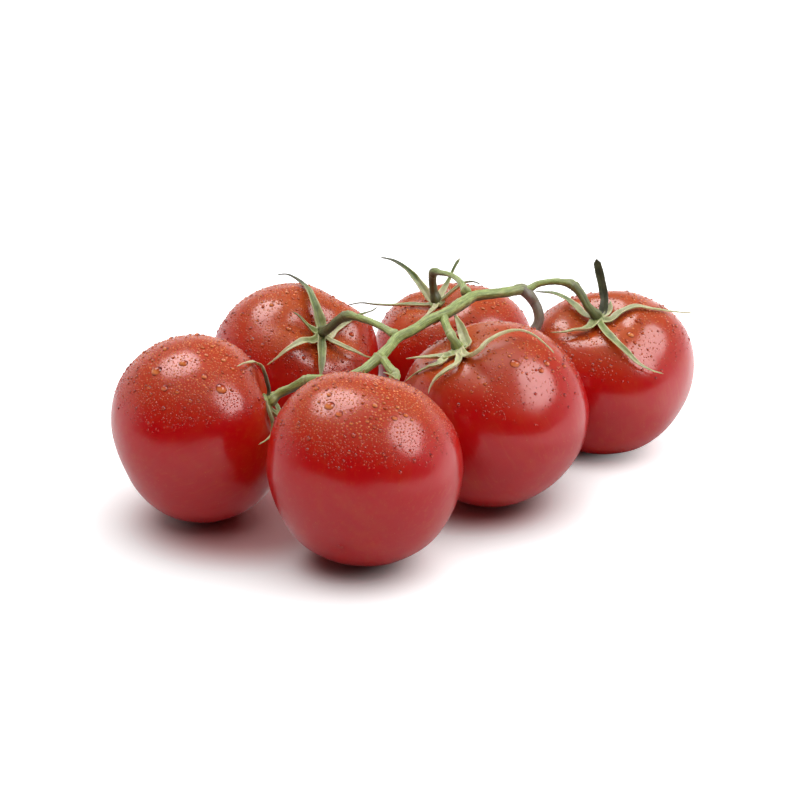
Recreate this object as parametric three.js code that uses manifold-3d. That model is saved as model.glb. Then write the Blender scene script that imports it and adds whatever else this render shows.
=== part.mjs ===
// A truss of six ripe tomatoes lying on a flat surface: one green main stem, six jointed fruit stalks,
// six leafy calyxes and six fruits, in millimetres, +Z up. The surface is z = 0, and the origin is at the
// middle of the truss's outline on it. +X runs along the row, and the open, leafy side faces -Y.
import * as THREE from "three";
import { mergeVertices } from "three/addons/utils/BufferGeometryUtils.js";
import Module from "manifold-3d";

const wasm = await Module();
wasm.setup();

// ---------------------------------------------------------------- driving dimensions

const GAP = 0.35; // clearance between two pieces that touch
const FRUIT_SEGMENTS = 26; // around a fruit
const FRUIT_RINGS = 18; // from its stem end to its blossom end
const ROUNDNESS = 2.15; // superellipse exponent of a fruit's profile: 2 is an ellipse
const SCAR_DEPTH = 1.2; // shallow hollow at the blossom end
const STEM_SIDES = 8;
const STALK_SIDES = 8;
const SEPAL_THICKNESS = 0.9;
const SEPAL_FOLD = 0.16; // how much a sepal's edges rise from its midrib, per millimetre of half width
const HUB_RADIUS = 3.7; // the disc that a calyx's sepals grow from
const HUB_HEIGHT = 1.5;
const OUTLINE_MIDDLE = [5.33, -2.3493]; // middle of the truss's outline in the coordinates of the tables below

// Each fruit: centre, equatorial radius, half height, tilt of its stem end from vertical and the heading of
// that tilt, spin about its own axis, depth of the stem hollow, shoulder lobes and out-of-round waves as
// [count around, share of the radius, phase]. A bulge is [angle around, angle from the stem end, rise, spread
// around in degrees, spread along].
const FRUITS = [
  { // left front, nearest the tip of the main stem
    centre: [-68.08, -28.03, 31.02], radius: 31.49, half: 28.44,
    tilt: 69.92, heading: 5.82, spin: 20, hollow: 5.2,
    lobes: [[5, 0.012, 10], [3, 0.008, 80]],
    waves: [[2, 0.01, -48.4], [3, 0.006, -45.6], [4, 0.0034, 42.6]],
  },
  { // front
    centre: [-11.44, -66.46, 32.67], radius: 32.36, half: 29.42,
    tilt: 54, heading: 72, spin: 0, hollow: 5.2,
    lobes: [[5, 0.012, 0], [3, 0.01, 40]],
    waves: [[2, 0.0451, 6.3], [3, 0.0401, 17.8], [4, 0.0117, 41.5]],
  },
  { // back left
    centre: [-38.98, 35.38, 28.78], radius: 30.93, half: 26.9,
    tilt: 41.53, heading: -45.66, spin: 0, hollow: 5.5,
    lobes: [[6, 0.011, 30], [4, 0.006, 0]],
    waves: [[2, 0.0118, 10.8], [3, 0.0101, 46.0], [4, 0.0086, -26.8]],
    bulges: [[89, 0.85, 2.3, 32, 0.42]],
  },
  { // back
    centre: [19.02, 64, 24.48], radius: 29.7, half: 24.45,
    tilt: 15.18, heading: -162.92, spin: 0, hollow: 5.5,
    lobes: [[6, 0.012, 0], [4, 0.008, 60]],
    waves: [[2, 0.0351, -28.8], [3, 0.0433, 39.8]],
  },
  { // right of the middle
    centre: [31.86, -15.4, 31.24], radius: 32.23, half: 31.08,
    tilt: 26.43, heading: 186.24, spin: 0, hollow: 5.5,
    lobes: [[6, 0.007, 15], [4, 0.005, 50]],
    waves: [[2, 0.0112, -49.9], [3, 0.0048, 44.5], [4, 0.0108, -12.8]],
    bulges: [[128, 1.13, -1.1, 26, 0.42], [108, 1.6, 1.0, 26, 0.4]],
  },
  { // right
    centre: [75.28, 32.5, 28.02], radius: 32.02, half: 27.87,
    tilt: 17.47, heading: -125.58, spin: 0, hollow: 5.5,
    lobes: [[6, 0.007, 0], [4, 0.005, 20]],
    waves: [[2, 0.0164, -36.6], [3, 0.0269, 30.9], [4, 0.0151, -30.2]],
    bulges: [[86, 0.84, -1.2, 24, 0.42]],
  },
];

// Centre lines of the stems as [x, y, z, radius]. The main stem starts at its cut end, down between the
// back fruits, bends over its joint and runs forward to the fork of the two front stalks.
const MAIN_STEM = [
  [41.33, 27.61, 35.04, 2.1],
  [45.84, 25.14, 43.12, 1.95],
  [50.04, 27.5, 50, 1.8],
  [49.51, 28.5, 53.46, 1.8],
  [48.29, 29.64, 56, 1.85],
  [46.16, 28.42, 59.2, 2],
  [44.24, 29.87, 60.6, 2.15],
  [39.37, 26.41, 61.1, 1.85],
  [33.83, 22.68, 61.7, 1.8],
  [26.55, 18.32, 62.3, 1.95],
  [21.34, 9.45, 62.4, 2.2],
  [15.55, 0.36, 62.1, 1.9],
  [9.97, -4.07, 61.3, 1.8],
  [4.43, -10.82, 60.1, 1.75],
  [-1.02, -15.17, 58.8, 1.85],
  [-4.03, -22.33, 57.5, 1.7],
  [-6.68, -27.01, 56.4, 1.9],
];

// Each stalk starts inside the main stem and ends on its fruit's calyx. It is thickest at its knuckle, the
// joint where a ripe fruit breaks off.
const STALKS = [
  [
    [-7.34, -27.37, 56, 1.5],
    [-9.99, -29.77, 54.6, 1.6],
    [-12.62, -32.21, 53.4, 1.6],
    [-18.28, -32.56, 51.4, 1.5],
    [-25.07, -29.28, 49.4, 1.5],
    [-31.3, -25.14, 47.2, 1.85],
    [-36.79, -24.34, 44.2, 1.5],
    [-40.88, -24.33, 42.2, 1.6],
    [-43.93, -25.57, 39.89, 1.9],
  ],
  [
    [-6.35, -26.37, 55.8, 1.3],
    [-5.06, -29.48, 55.7, 1.3],
    [-2.97, -35.94, 55.2, 1.45],
    [-1.65, -38.18, 54.3, 1.8],
    [-4.23, -44.27, 49.62, 1.5],
    [-4.73, -45.81, 48.44, 1.9],
  ],
  [
    [-2.04, -11.78, 59, 1.25],
    [-6.32, -5.68, 59.4, 1.2],
    [-10.77, 0.77, 59.2, 1.2],
    [-15.36, 6.3, 58.7, 1.3],
    [-18.62, 10.85, 57.6, 1.85],
    [-21.67, 13.32, 55, 1.6],
    [-24.6, 15.14, 51.6, 1.6],
    [-27.86, 24, 46.74, 1.9],
  ],
  [
    [23.42, 20.5, 63.23, 1.3],
    [22.03, 28, 63.69, 1.1],
    [20.33, 38, 62.42, 0.95],
    [17.99, 46, 61.14, 0.95],
    [15.01, 54.5, 58.98, 1.05],
    [12.65, 60, 57.27, 1.65],
    [12.18, 62.3, 53.9, 1.5],
    [12.67, 63, 49.3, 1.55],
    [13.62, 62.34, 45.29, 1.9],
  ],
  [
    [14.87, 0.55, 61.3, 1.5],
    [15.77, -6.18, 60.6, 1.4],
    [17.29, -14.68, 59.7, 1.55],
    [18.33, -16.88, 58.61, 1.35],
    [19.4, -16.76, 56.46, 1.9],
  ],
  [
    [44.96, 29.67, 60.1, 1.4],
    [47.11, 30.04, 61.3, 1.2],
    [49.29, 30.82, 62.4, 1.15],
    [53.35, 30.67, 63.4, 1.15],
    [57.83, 30.07, 63.6, 1.25],
    [61.94, 28.67, 62.9, 1.8],
    [64.83, 26.61, 60.2, 1.55],
    [67.03, 25.55, 56.4, 1.5],
    [70.92, 26.4, 51.85, 1.9],
  ],
];

// Each sepal: its full width near the base, its tip width, and its midrib from the hub outwards.
const CALYXES = [
  {
    hub: [-45.05, -25.68, 39.48], axis: [0.9344, 0.0952, 0.3433],
    sepals: [
      { width: 2, tip: 0.22, midrib: [[-45.24, -25.7, 39.41], [-44.26, -25, 43.38], [-45.05, -24, 46.61], [-45.82, -22.5, 49.1], [-46.72, -21.5, 50.85], [-48.24, -21.5, 52], [-49.5, -32.94, 56.91], [-51.7, -36.48, 57.74], [-53.78, -39.38, 57.65]] },
      { width: 2.8, tip: 0.22, midrib: [[-45.24, -25.7, 39.41], [-43.14, -19.9, 36.57], [-41.49, -22.36, 35.37], [-40.64, -25.85, 34.24], [-40.33, -39.17, 36.87]] },
      { width: 2.3, tip: 0.22, midrib: [[-45.24, -25.7, 39.41], [-43.06, -41.41, 42.11], [-42.1, -42.41, 38.23], [-42.34, -44.86, 36.04], [-43.8, -48.18, 35.38], [-46.22, -51.83, 35.14]] },
      { width: 3.2, tip: 0.22, midrib: [[-45.24, -25.7, 39.41], [-43.64, -25.54, 36.26], [-41.08, -25.26, 33.76], [-38.97, -24.93, 31.1], [-37.83, -24.46, 27.32], [-37.72, -23.78, 23.44], [-38.44, -22.85, 19.8]] },
      { width: 3.2, tip: 0.22, midrib: [[-45.24, -25.7, 39.41], [-44.98, -22.19, 39.08], [-44.09, -19.65, 39.08], [-43.19, -17.38, 38.83], [-42.77, -14.56, 38.26], [-43.04, -11.81, 37.14], [-43.69, -9.42, 35.51]] },
    ],
  },
  {
    hub: [-5.03, -46.74, 47.74], axis: [0.25, 0.7694, 0.5878],
    sepals: [
      { width: 3.4, tip: 0.22, midrib: [[-5.08, -46.89, 47.62], [-5.05, -44.38, 45.1], [-4.78, -40.28, 42.86], [-5.06, -36.18, 39.36], [-6.55, -33.68, 34.66], [-9.17, -32.5, 30.09], [-12.89, -32.34, 26.04]] },
      { width: 3.4, tip: 0.22, midrib: [[-5.08, -46.89, 47.62], [-8.18, -45.15, 47.41], [-11.64, -41.96, 48.03], [-16.32, -38.92, 47.59], [-21.45, -37.61, 45.18], [-25.94, -37.39, 41.62], [-29.61, -37.88, 37.11]] },
      { width: 3.4, tip: 0.22, midrib: [[-5.08, -46.89, 47.62], [-7.53, -47.37, 50.16], [-9.08, -47.14, 52.62], [-10.19, -47.13, 55.07], [-11.33, -48.25, 57.98], [-11.8, -50.68, 60.59], [-10.99, -53.95, 62.6]] },
      { width: 3.4, tip: 0.22, midrib: [[-5.08, -46.89, 47.62], [-3.74, -48.81, 50.3], [-2.63, -49.67, 52.82], [-2, -50.48, 55.31], [-1.97, -52.09, 58.11], [-3.1, -54.28, 60.58], [-5.6, -56.44, 62.61]] },
      { width: 3.4, tip: 0.22, midrib: [[-5.08, -46.89, 47.62], [-1.61, -46.75, 46.84], [3.02, -45.55, 46.59], [7.68, -44.86, 45.35], [12.02, -45.65, 42.34], [15.09, -46.88, 38.33], [16.88, -48.19, 33.56]] },
    ],
  },
  {
    hub: [-28.42, 24.57, 45.84], axis: [0.4634, -0.4742, 0.7486],
    sepals: [
      { width: 4.3, tip: 0.22, midrib: [[-28.51, 24.67, 45.69], [-28.91, 26.64, 48.39], [-29.58, 27.29, 51.07], [-30.99, 29.36, 55.68], [-32.83, 33.28, 58.86], [-35.95, 43.08, 58.8], [-39, 46, 60.13], [-41.6, 46.3, 61.19], [-45.35, 46.3, 60.96]] },
      { width: 2.6, tip: 0.5, midrib: [[-28.51, 24.67, 45.69], [-31.73, 22.39, 48.02], [-33.95, 20.45, 51.54], [-36.2, 20.15, 54.45], [-38.38, 20.24, 55.92]] },
      { width: 2.8, tip: 0.22, midrib: [[-28.51, 24.67, 45.69], [-31.38, 17.21, 45.73], [-35.01, 11.57, 47.52], [-39.48, 8.55, 46.01], [-44.04, 6.96, 42.69], [-47.25, 6.59, 40.34]] },
      { width: 3.1, tip: 0.22, midrib: [[-28.51, 24.67, 45.69], [-28.19, 16.94, 43.55], [-27.94, 11.12, 41.19], [-28.02, 8.16, 37.77], [-28.19, 6.33, 33.93]] },
      { width: 2.2, tip: 0.22, midrib: [[-28.51, 24.67, 45.69], [-24.8, 22.6, 43.74], [-20.58, 20.11, 42.68], [-15.92, 19.64, 40.78], [-12.24, 21.51, 38.31], [-8.7, 26.12, 35.87]] },
      { width: 1.9, tip: 0.22, midrib: [[-28.51, 24.67, 45.69], [-24.87, 25.06, 44.37], [-23.66, 27.09, 45.74], [-21.34, 28.92, 47], [-18.68, 31.38, 48.03], [-16.03, 35, 48.78], [-12.4, 36.2, 49.75], [-9.67, 37, 50.55], [-8.03, 37.6, 51.96]] },
    ],
  },
  {
    hub: [13.92, 62.43, 44.13], axis: [-0.2503, -0.0769, 0.9651],
    sepals: [
      { width: 3.2, tip: 0.45, midrib: [[13.97, 62.45, 43.94], [10.99, 65.2, 44.95], [9.67, 66.4, 46.94], [6.68, 68.5, 50.82], [2.66, 70.2, 55.05], [-2.2, 71.6, 58.05], [-5.31, 72.1, 58.93], [-7.78, 72.3, 59.18]] },
      { width: 1.9, tip: 0.22, midrib: [[13.97, 62.45, 43.94], [9.82, 61.8, 43.73], [3.78, 62.3, 43.79], [-3.03, 63, 43.31], [-9.47, 63.8, 43.35], [-14.78, 64.4, 43.78], [-20.11, 65, 42.61]] },
      { width: 3.7, tip: 1, midrib: [[13.97, 62.45, 43.94], [15.16, 65.5, 45.24], [16.91, 68.3, 47.89], [18.83, 70.8, 51.05], [20.75, 73, 54.92], [22.87, 75, 58.07]] },
      { width: 2.2, tip: 0.22, midrib: [[13.97, 62.45, 43.94], [12.67, 51.59, 45.72], [10.57, 47.52, 45.19], [7.78, 46.23, 43.49], [4.45, 45.16, 41.12]] },
      { width: 1.9, tip: 0.22, midrib: [[13.97, 62.45, 43.94], [17.34, 61.6, 46.99], [21.05, 60.8, 50.64], [23.82, 60, 53.01], [25.86, 59.5, 53.81], [28.09, 59, 53.9], [30.7, 58.5, 52.81]] },
    ],
  },
  {
    hub: [19.93, -16.7, 55.39], axis: [-0.4425, -0.0484, 0.8955],
    sepals: [
      { width: 3.8, tip: 0.22, midrib: [[20.02, -16.7, 55.21], [17.5, -22.14, 54.73], [13.66, -19.4, 53.34], [8.79, -19, 53.29], [4.73, -19.8, 53.45], [1.55, -20.5, 53.35]] },
      { width: 3.1, tip: 0.22, midrib: [[20.02, -16.7, 55.21], [17.01, -17.85, 53.92], [13.4, -26.1, 53.55], [9.55, -24.27, 51.77], [4.73, -22, 48.29], [1.69, -22.8, 45.99]] },
      { width: 2.5, tip: 0.22, midrib: [[20.02, -16.7, 55.21], [18.88, -33.05, 56.03], [14.9, -34.26, 54.02], [11.34, -34.54, 50.93], [9.78, -35.53, 48.64], [9.21, -36.63, 46.94]] },
      { width: 2.8, tip: 0.22, midrib: [[20.02, -16.7, 55.21], [23.23, -30.9, 58.23], [26.17, -31.35, 60.24], [29.85, -29.21, 63.19], [34.71, -27.41, 65.22], [40.05, -23.95, 64.88], [44.53, -22.57, 62.77], [48.53, -23.94, 60.07], [51.93, -25.88, 57.04]] },
      { width: 3.6, tip: 0.22, midrib: [[20.02, -16.7, 55.21], [22.94, -19.42, 57.13], [22.32, -11.94, 57.61], [20.8, -4.5, 59.45], [19.4, 1.5, 60.41], [18.64, 6, 60.84]] },
    ],
  },
  {
    hub: [71.13, 26.69, 50.71], axis: [-0.1747, -0.2442, 0.9539],
    sepals: [
      { width: 3, tip: 1.25, midrib: [[71.16, 26.74, 50.52], [73.3, 29.5, 51.96], [74.1, 31.5, 55.09], [73.77, 34, 58.43], [72.6, 36.5, 64.07], [71.04, 38, 69.66]] },
      { width: 3, tip: 0.22, midrib: [[71.16, 26.74, 50.52], [75.27, 23.46, 51.06], [78.22, 24.96, 52.96], [81.86, 26.19, 54.66], [85.5, 26.92, 55.35], [90.01, 26.76, 54.69], [96.98, 31.27, 52.26], [101.46, 32, 51.5], [106.22, 32.5, 51.13]] },
      { width: 2.7, tip: 0.22, midrib: [[71.16, 26.74, 50.52], [73.02, 14.49, 50.06], [76.39, 8.46, 48.15], [79.85, 5.58, 45.62], [83.54, 4.02, 42.46], [88.19, 4.47, 39.65], [93.1, 6.32, 37.42]] },
      { width: 3.7, tip: 0.22, midrib: [[71.16, 26.74, 50.52], [66.57, 17.71, 49.91], [62.59, 16.93, 50.08], [58.62, 17.26, 49.21], [53.52, 19.74, 48.15]] },
      { width: 2.7, tip: 0.22, midrib: [[71.16, 26.74, 50.52], [67.11, 28.5, 51.17], [63.43, 33, 53.34], [60.06, 37, 55.06], [56.11, 40.5, 55.74], [51.38, 43.5, 55.33], [49.24, 44.5, 55.14]] },
      { width: 2.4, tip: 0.9, midrib: [[71.16, 26.74, 50.52], [74.81, 28.3, 52.01], [75.95, 30.77, 53.81], [76.19, 32.5, 55.69]] },
    ],
  },
];

const RIPE_RED = 0xc0150f;
const STEM_GREEN = 0x8aa05a;
const CALYX_GREEN = 0x6f9247;

// ---------------------------------------------------------------- solids

const bare = (geometry) => {
  const g = geometry.clone();
  for (const name of Object.keys(g.attributes))
    if (name !== "position") g.deleteAttribute(name);
  return mergeVertices(g, 1e-4);
};
const solid = (geometry) => {
  const g = bare(geometry);
  return new wasm.Manifold(
    new wasm.Mesh({
      numProp: 3,
      vertProperties: new Float32Array(g.attributes.position.array),
      triVerts: new Uint32Array(g.index.array),
    }),
  );
};
const largest = (made) =>
  made.decompose().reduce((a, b) => (b.volume() > a.volume() ? b : a));
const geometryOf = (made) => {
  const m = made.getMesh();
  const position = new Float32Array(m.numVert * 3);
  for (let i = 0; i < m.numVert; i++)
    position.set(m.vertProperties.subarray(i * m.numProp, i * m.numProp + 3), i * 3);
  const g = new THREE.BufferGeometry();
  g.setAttribute("position", new THREE.BufferAttribute(position, 3));
  g.setIndex(new THREE.BufferAttribute(new Uint32Array(m.triVerts), 1));
  g.computeVertexNormals();
  return g;
};

// ---------------------------------------------------------------- fruits

const rad = THREE.MathUtils.degToRad;
const wave = (list, around) =>
  list.reduce((sum, [n, share, phase]) => sum + share * Math.cos(n * (around - rad(phase))), 0);

// A fruit's own axes: a points out of its stem end, b1 and b2 span its equator.
function fruitAxes(f) {
  const t = rad(f.tilt), h = rad(f.heading), s = rad(f.spin);
  const a = new THREE.Vector3(Math.sin(t) * Math.cos(h), Math.sin(t) * Math.sin(h), Math.cos(t));
  const u = new THREE.Vector3(Math.cos(t) * Math.cos(h), Math.cos(t) * Math.sin(h), -Math.sin(t));
  const v = new THREE.Vector3().crossVectors(a, u);
  const b1 = u.clone().multiplyScalar(Math.cos(s)).addScaledVector(v, Math.sin(s));
  const b2 = v.clone().multiplyScalar(Math.cos(s)).addScaledVector(u, -Math.sin(s));
  return { a, b1, b2 };
}

// The skin at polar angle t (0 at the stem end) and angle p around the axis: radius from the axis, and height.
function skin(f, t, p) {
  const s = Math.sin(t), c = Math.cos(t);
  const k = (Math.abs(s) ** ROUNDNESS + Math.abs(c) ** ROUNDNESS) ** (-1 / ROUNDNESS);
  const shoulder = Math.exp(-(((t - 0.72) / 0.5) ** 2));
  const base = 0.45 * Math.exp(-(((t - 2.55) / 0.45) ** 2));
  const lobes = wave(f.lobes, p);
  const grow = 1 + (shoulder + base + 0.25 * s) * lobes + s * wave(f.waves, p);
  let rho = f.radius * s * k * grow;
  let z = f.half * c * k * (1 + 0.6 * shoulder * lobes);
  if (c > 0) z -= f.hollow * Math.exp(-((rho / (0.33 * f.radius * (1 - lobes))) ** 2));
  else z += SCAR_DEPTH * Math.exp(-((rho / (0.22 * f.radius)) ** 2));
  for (const [p0, t0, rise, wide, long] of f.bulges ?? []) {
    const off = ((p - THREE.MathUtils.degToRad(p0) + 3 * Math.PI) % (2 * Math.PI)) - Math.PI;
    const out = rise * Math.exp(-((off / THREE.MathUtils.degToRad(wide)) ** 2) - ((t - t0) / long) ** 2);
    rho += out * s;
    z += out * c;
  }
  return [rho, z];
}

// swell moves the whole skin outwards, for cutting a clearance.
function fruitGeometry(f, swell = 0) {
  const g = bare(new THREE.SphereGeometry(1, FRUIT_SEGMENTS, FRUIT_RINGS));
  const { a, b1, b2 } = fruitAxes(f);
  const at = g.attributes.position, v = new THREE.Vector3();
  for (let i = 0; i < at.count; i++) {
    // rings lie closer together towards the stem end, where the hollow is
    const t = Math.PI * (Math.acos(THREE.MathUtils.clamp(at.getY(i), -1, 1)) / Math.PI) ** 1.18;
    const p = Math.atan2(-at.getZ(i), at.getX(i));
    const [rho, z] = skin(f, t, p);
    v.set(...f.centre)
      .addScaledVector(b1, rho * Math.cos(p))
      .addScaledVector(b2, rho * Math.sin(p))
      .addScaledVector(a, z);
    at.setXYZ(i, v.x, v.y, v.z);
  }
  if (swell) {
    g.computeVertexNormals();
    const n = g.attributes.normal;
    for (let i = 0; i < at.count; i++)
      at.setXYZ(i, at.getX(i) + swell * n.getX(i), at.getY(i) + swell * n.getY(i), at.getZ(i) + swell * n.getZ(i));
  }
  return g;
}

// ---------------------------------------------------------------- stems and sepals

// A closed body along a smooth curve. section(x, y, s) turns a corner of the unit circle, at share s of the
// curve, into [across, upwards] offsets; up is the upward direction at its start, carried along without twist.
function swept(points, sides, steps, up, section) {
  const curve = new THREE.CatmullRomCurve3(
    points.map((p) => new THREE.Vector3(p[0], p[1], p[2])), false, "centripetal",
  );
  const normal = up.clone(), stations = [];
  for (let i = 0; i <= steps; i++) {
    const s = i / steps, along = curve.getTangent(s);
    normal.addScaledVector(along, -normal.dot(along)).normalize();
    stations.push({ at: curve.getPoint(s), n: normal.clone(), w: new THREE.Vector3().crossVectors(along, normal) });
  }
  const g = bare(new THREE.CylinderGeometry(1, 1, 1, sides, steps, false, Math.PI / 2));
  const at = g.attributes.position;
  for (let i = 0; i < at.count; i++) {
    const s = at.getY(i) + 0.5, { at: c, n, w } = stations[Math.round(s * steps)];
    const [across, rise] = section(at.getX(i), at.getZ(i), s);
    const v = c.clone().addScaledVector(w, across).addScaledVector(n, rise);
    at.setXYZ(i, v.x, v.y, v.z);
  }
  return g;
}

// A stem's radius at share s, eased between the radii of its points.
function radiusAt(points, s) {
  const x = s * (points.length - 1), i = Math.min(Math.floor(x), points.length - 2);
  const e = x - i, ease = e * e * (3 - 2 * e);
  return points[i][3] + (points[i + 1][3] - points[i][3]) * ease;
}

function stemGeometry(points, sides, swell = 0) {
  const line = points.map((p) => p.slice());
  if (swell) { // longer at both ends by the same amount
    const first = new THREE.Vector3(...line[0]), second = new THREE.Vector3(...line[1]);
    const last = new THREE.Vector3(...line.at(-1)), before = new THREE.Vector3(...line.at(-2));
    const out = first.clone().sub(second).setLength(swell).add(first);
    const on = last.clone().sub(before).setLength(swell).add(last);
    line[0] = [out.x, out.y, out.z, line[0][3]];
    line[line.length - 1] = [on.x, on.y, on.z, line.at(-1)[3]];
  }
  const steps = (points.length - 1) * 2;
  return swept(line, sides, steps, new THREE.Vector3(0.2, -0.3, 0.9), (x, y, s) => {
    const r = radiusAt(line, s) + swell;
    return [r * x, r * y];
  });
}

// A sepal is a long leaf: a neck at the hub, widest a fifth of the way out, then a taper to its tip.
function sepalGeometry(axis, { width, tip, midrib }) {
  const up = new THREE.Vector3(...axis);
  return swept(midrib, 6, midrib.length + 3, up, (x, y, s) => {
    const neck = 0.72 + 0.28 * Math.min(1, s / 0.2);
    const taper = s < 0.2 ? 1 : (1 - (s - 0.2) / 0.8) ** 0.8;
    const half = Math.max(0.5 * width * neck * taper, tip);
    const thick = 0.5 * SEPAL_THICKNESS * (0.55 + 0.45 * (1 - s));
    return [half * x, thick * y * 1.15 + SEPAL_FOLD * Math.abs(half * x) * (1 - s)];
  });
}

function hubGeometry({ hub, axis }) {
  const a = new THREE.Vector3(...axis), h = new THREE.Vector3(...hub);
  const at = (k) => h.clone().addScaledVector(a, k).toArray();
  const side = Math.abs(a.z) < 0.9 ? new THREE.Vector3(0, 0, 1) : new THREE.Vector3(1, 0, 0);
  return swept([at(-0.35 * HUB_HEIGHT), at(0.1 * HUB_HEIGHT), at(0.6 * HUB_HEIGHT)], 12, 4, side, (x, y, s) => {
    const r = HUB_RADIUS * (s < 0.5 ? 0.86 + 0.28 * s : 1 - 0.5 * (s - 0.5));
    return [r * x, r * y];
  });
}

// ---------------------------------------------------------------- the truss

const middle = new THREE.Vector3(OUTLINE_MIDDLE[0], OUTLINE_MIDDLE[1], 0);
const surface = solid(new THREE.BoxGeometry(400, 400, 40).translate(middle.x, middle.y, -20));
const fruitClearances = FRUITS.map((f) => solid(fruitGeometry(f, GAP)));
const mainStemClearance = solid(stemGeometry(MAIN_STEM, STEM_SIDES, GAP));
const stalkClearances = STALKS.map((s) => solid(stemGeometry(s, STALK_SIDES, GAP)));
const cut = (made, ...tools) => largest(tools.flat().reduce((m, t) => m.subtract(t), made));

const truss = new THREE.Group();
truss.name = "truss_of_tomatoes";
truss.position.copy(middle).negate();
function addPiece(name, made, color, roughness) {
  const mesh = new THREE.Mesh(
    geometryOf(made),
    new THREE.MeshStandardMaterial({ color, roughness, metalness: 0 }),
  );
  mesh.name = name;
  truss.add(mesh);
}

addPiece("main_stem", cut(solid(stemGeometry(MAIN_STEM, STEM_SIDES)), fruitClearances), STEM_GREEN, 0.6);
STALKS.forEach((stalk, i) => {
  addPiece(
    `fruit_stalk_${i + 1}`,
    cut(
      solid(stemGeometry(stalk, STALK_SIDES)), fruitClearances, mainStemClearance,
      stalkClearances.filter((_, j) => j < i),
    ),
    STEM_GREEN, 0.6,
  );
});
CALYXES.forEach((calyx, i) => {
  const star = calyx.sepals.reduce(
    (made, s) => made.add(solid(sepalGeometry(calyx.axis, s))), solid(hubGeometry(calyx)),
  );
  addPiece(`calyx_${i + 1}`, cut(star, fruitClearances, mainStemClearance, stalkClearances), CALYX_GREEN, 0.65);
});
FRUITS.forEach((f, i) => {
  // each fruit rests on a small flat where its skin is pressed against the surface
  addPiece(`tomato_${i + 1}`, cut(solid(fruitGeometry(f)), surface), RIPE_RED, 0.25);
});

export default truss;
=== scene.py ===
import math
import random

import bpy
import numpy as np
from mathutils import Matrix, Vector
from mathutils.kdtree import KDTree


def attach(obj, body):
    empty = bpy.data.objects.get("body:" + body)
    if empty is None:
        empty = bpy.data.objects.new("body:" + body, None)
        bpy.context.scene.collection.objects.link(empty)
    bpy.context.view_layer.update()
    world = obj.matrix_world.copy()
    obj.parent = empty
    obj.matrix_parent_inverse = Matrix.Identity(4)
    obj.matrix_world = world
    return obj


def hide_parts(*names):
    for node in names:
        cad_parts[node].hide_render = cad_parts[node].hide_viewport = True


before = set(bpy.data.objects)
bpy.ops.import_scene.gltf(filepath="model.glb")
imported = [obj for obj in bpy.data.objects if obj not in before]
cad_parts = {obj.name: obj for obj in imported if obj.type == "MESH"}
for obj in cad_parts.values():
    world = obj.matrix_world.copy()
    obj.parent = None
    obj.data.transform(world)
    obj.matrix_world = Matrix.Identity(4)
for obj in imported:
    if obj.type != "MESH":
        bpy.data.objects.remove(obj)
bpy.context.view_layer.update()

# A truss of six ripe tomatoes. Shapes are worked out in millimetres on the surface's own axes (x right, y away,
# z up) and written in metres about the middle of the outline.

# The six fruits: centre, radius, half height, lean and heading of the stem end, turn about it, depth of the
# hollow, then the lobes of the shoulders and the waves of the outline as (count, share, phase in degrees).
# A cleft is (angle around, angle from the stem end, depth, spread around in degrees, spread along).
# A dull waxy patch is (angle around, angle from the stem end, spread around in degrees, spread along).
FRUITS = [
    dict(centre=(-68.08, -28.03, 31.02), radius=31.49, half=28.44, tilt=69.92, heading=5.82, spin=20, hollow=5.2,
         lobes=[(5, 0.012, 10), (3, 0.008, 80)], waves=[(2, 0.01, -48.4), (3, 0.006, -45.6), (4, 0.0034, 42.6)]),
    dict(centre=(-11.44, -66.46, 32.67), radius=32.36, half=29.42, tilt=54, heading=72, spin=0, hollow=5.2,
         lobes=[(5, 0.012, 0), (3, 0.01, 40)], waves=[(2, 0.0451, 6.3), (3, 0.0401, 17.8), (4, 0.0117, 41.5)]),
    dict(centre=(-38.98, 35.38, 28.78), radius=30.93, half=26.9, tilt=41.53, heading=-45.66, spin=0, hollow=5.5,
         lobes=[(6, 0.011, 30), (4, 0.006, 0)], waves=[(2, 0.0118, 10.8), (3, 0.0101, 46), (4, 0.0086, -26.8)], clefts=[(89, 0.85, -2.3, 32, 0.42)]),
    dict(centre=(19.02, 64, 24.48), radius=29.7, half=24.45, tilt=15.18, heading=-162.92, spin=0, hollow=5.5,
         lobes=[(6, 0.012, 0), (4, 0.008, 60)], waves=[(2, 0.0351, -28.8), (3, 0.0433, 39.8)]),
    dict(centre=(31.86, -15.4, 31.24), radius=32.23, half=31.08, tilt=26.43, heading=186.24, spin=0, hollow=5.5,
         lobes=[(6, 0.007, 15), (4, 0.005, 50)], waves=[(2, 0.0112, -49.9), (3, 0.0048, 44.5), (4, 0.0108, -12.8)], clefts=[(128, 1.13, 1.1, 26, 0.42), (108, 1.6, -1, 26, 0.4), (100, 0.69, 0.8, 7, 0.14)], dull=[(124, 0.6, 30, 0.2)]),
    dict(centre=(75.28, 32.5, 28.02), radius=32.02, half=27.87, tilt=17.47, heading=-125.58, spin=0, hollow=5.5,
         lobes=[(6, 0.007, 0), (4, 0.005, 20)], waves=[(2, 0.0164, -36.6), (3, 0.0269, 30.9), (4, 0.0151, -30.2)], clefts=[(86, 0.84, 1.2, 24, 0.42)]),
]
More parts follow.
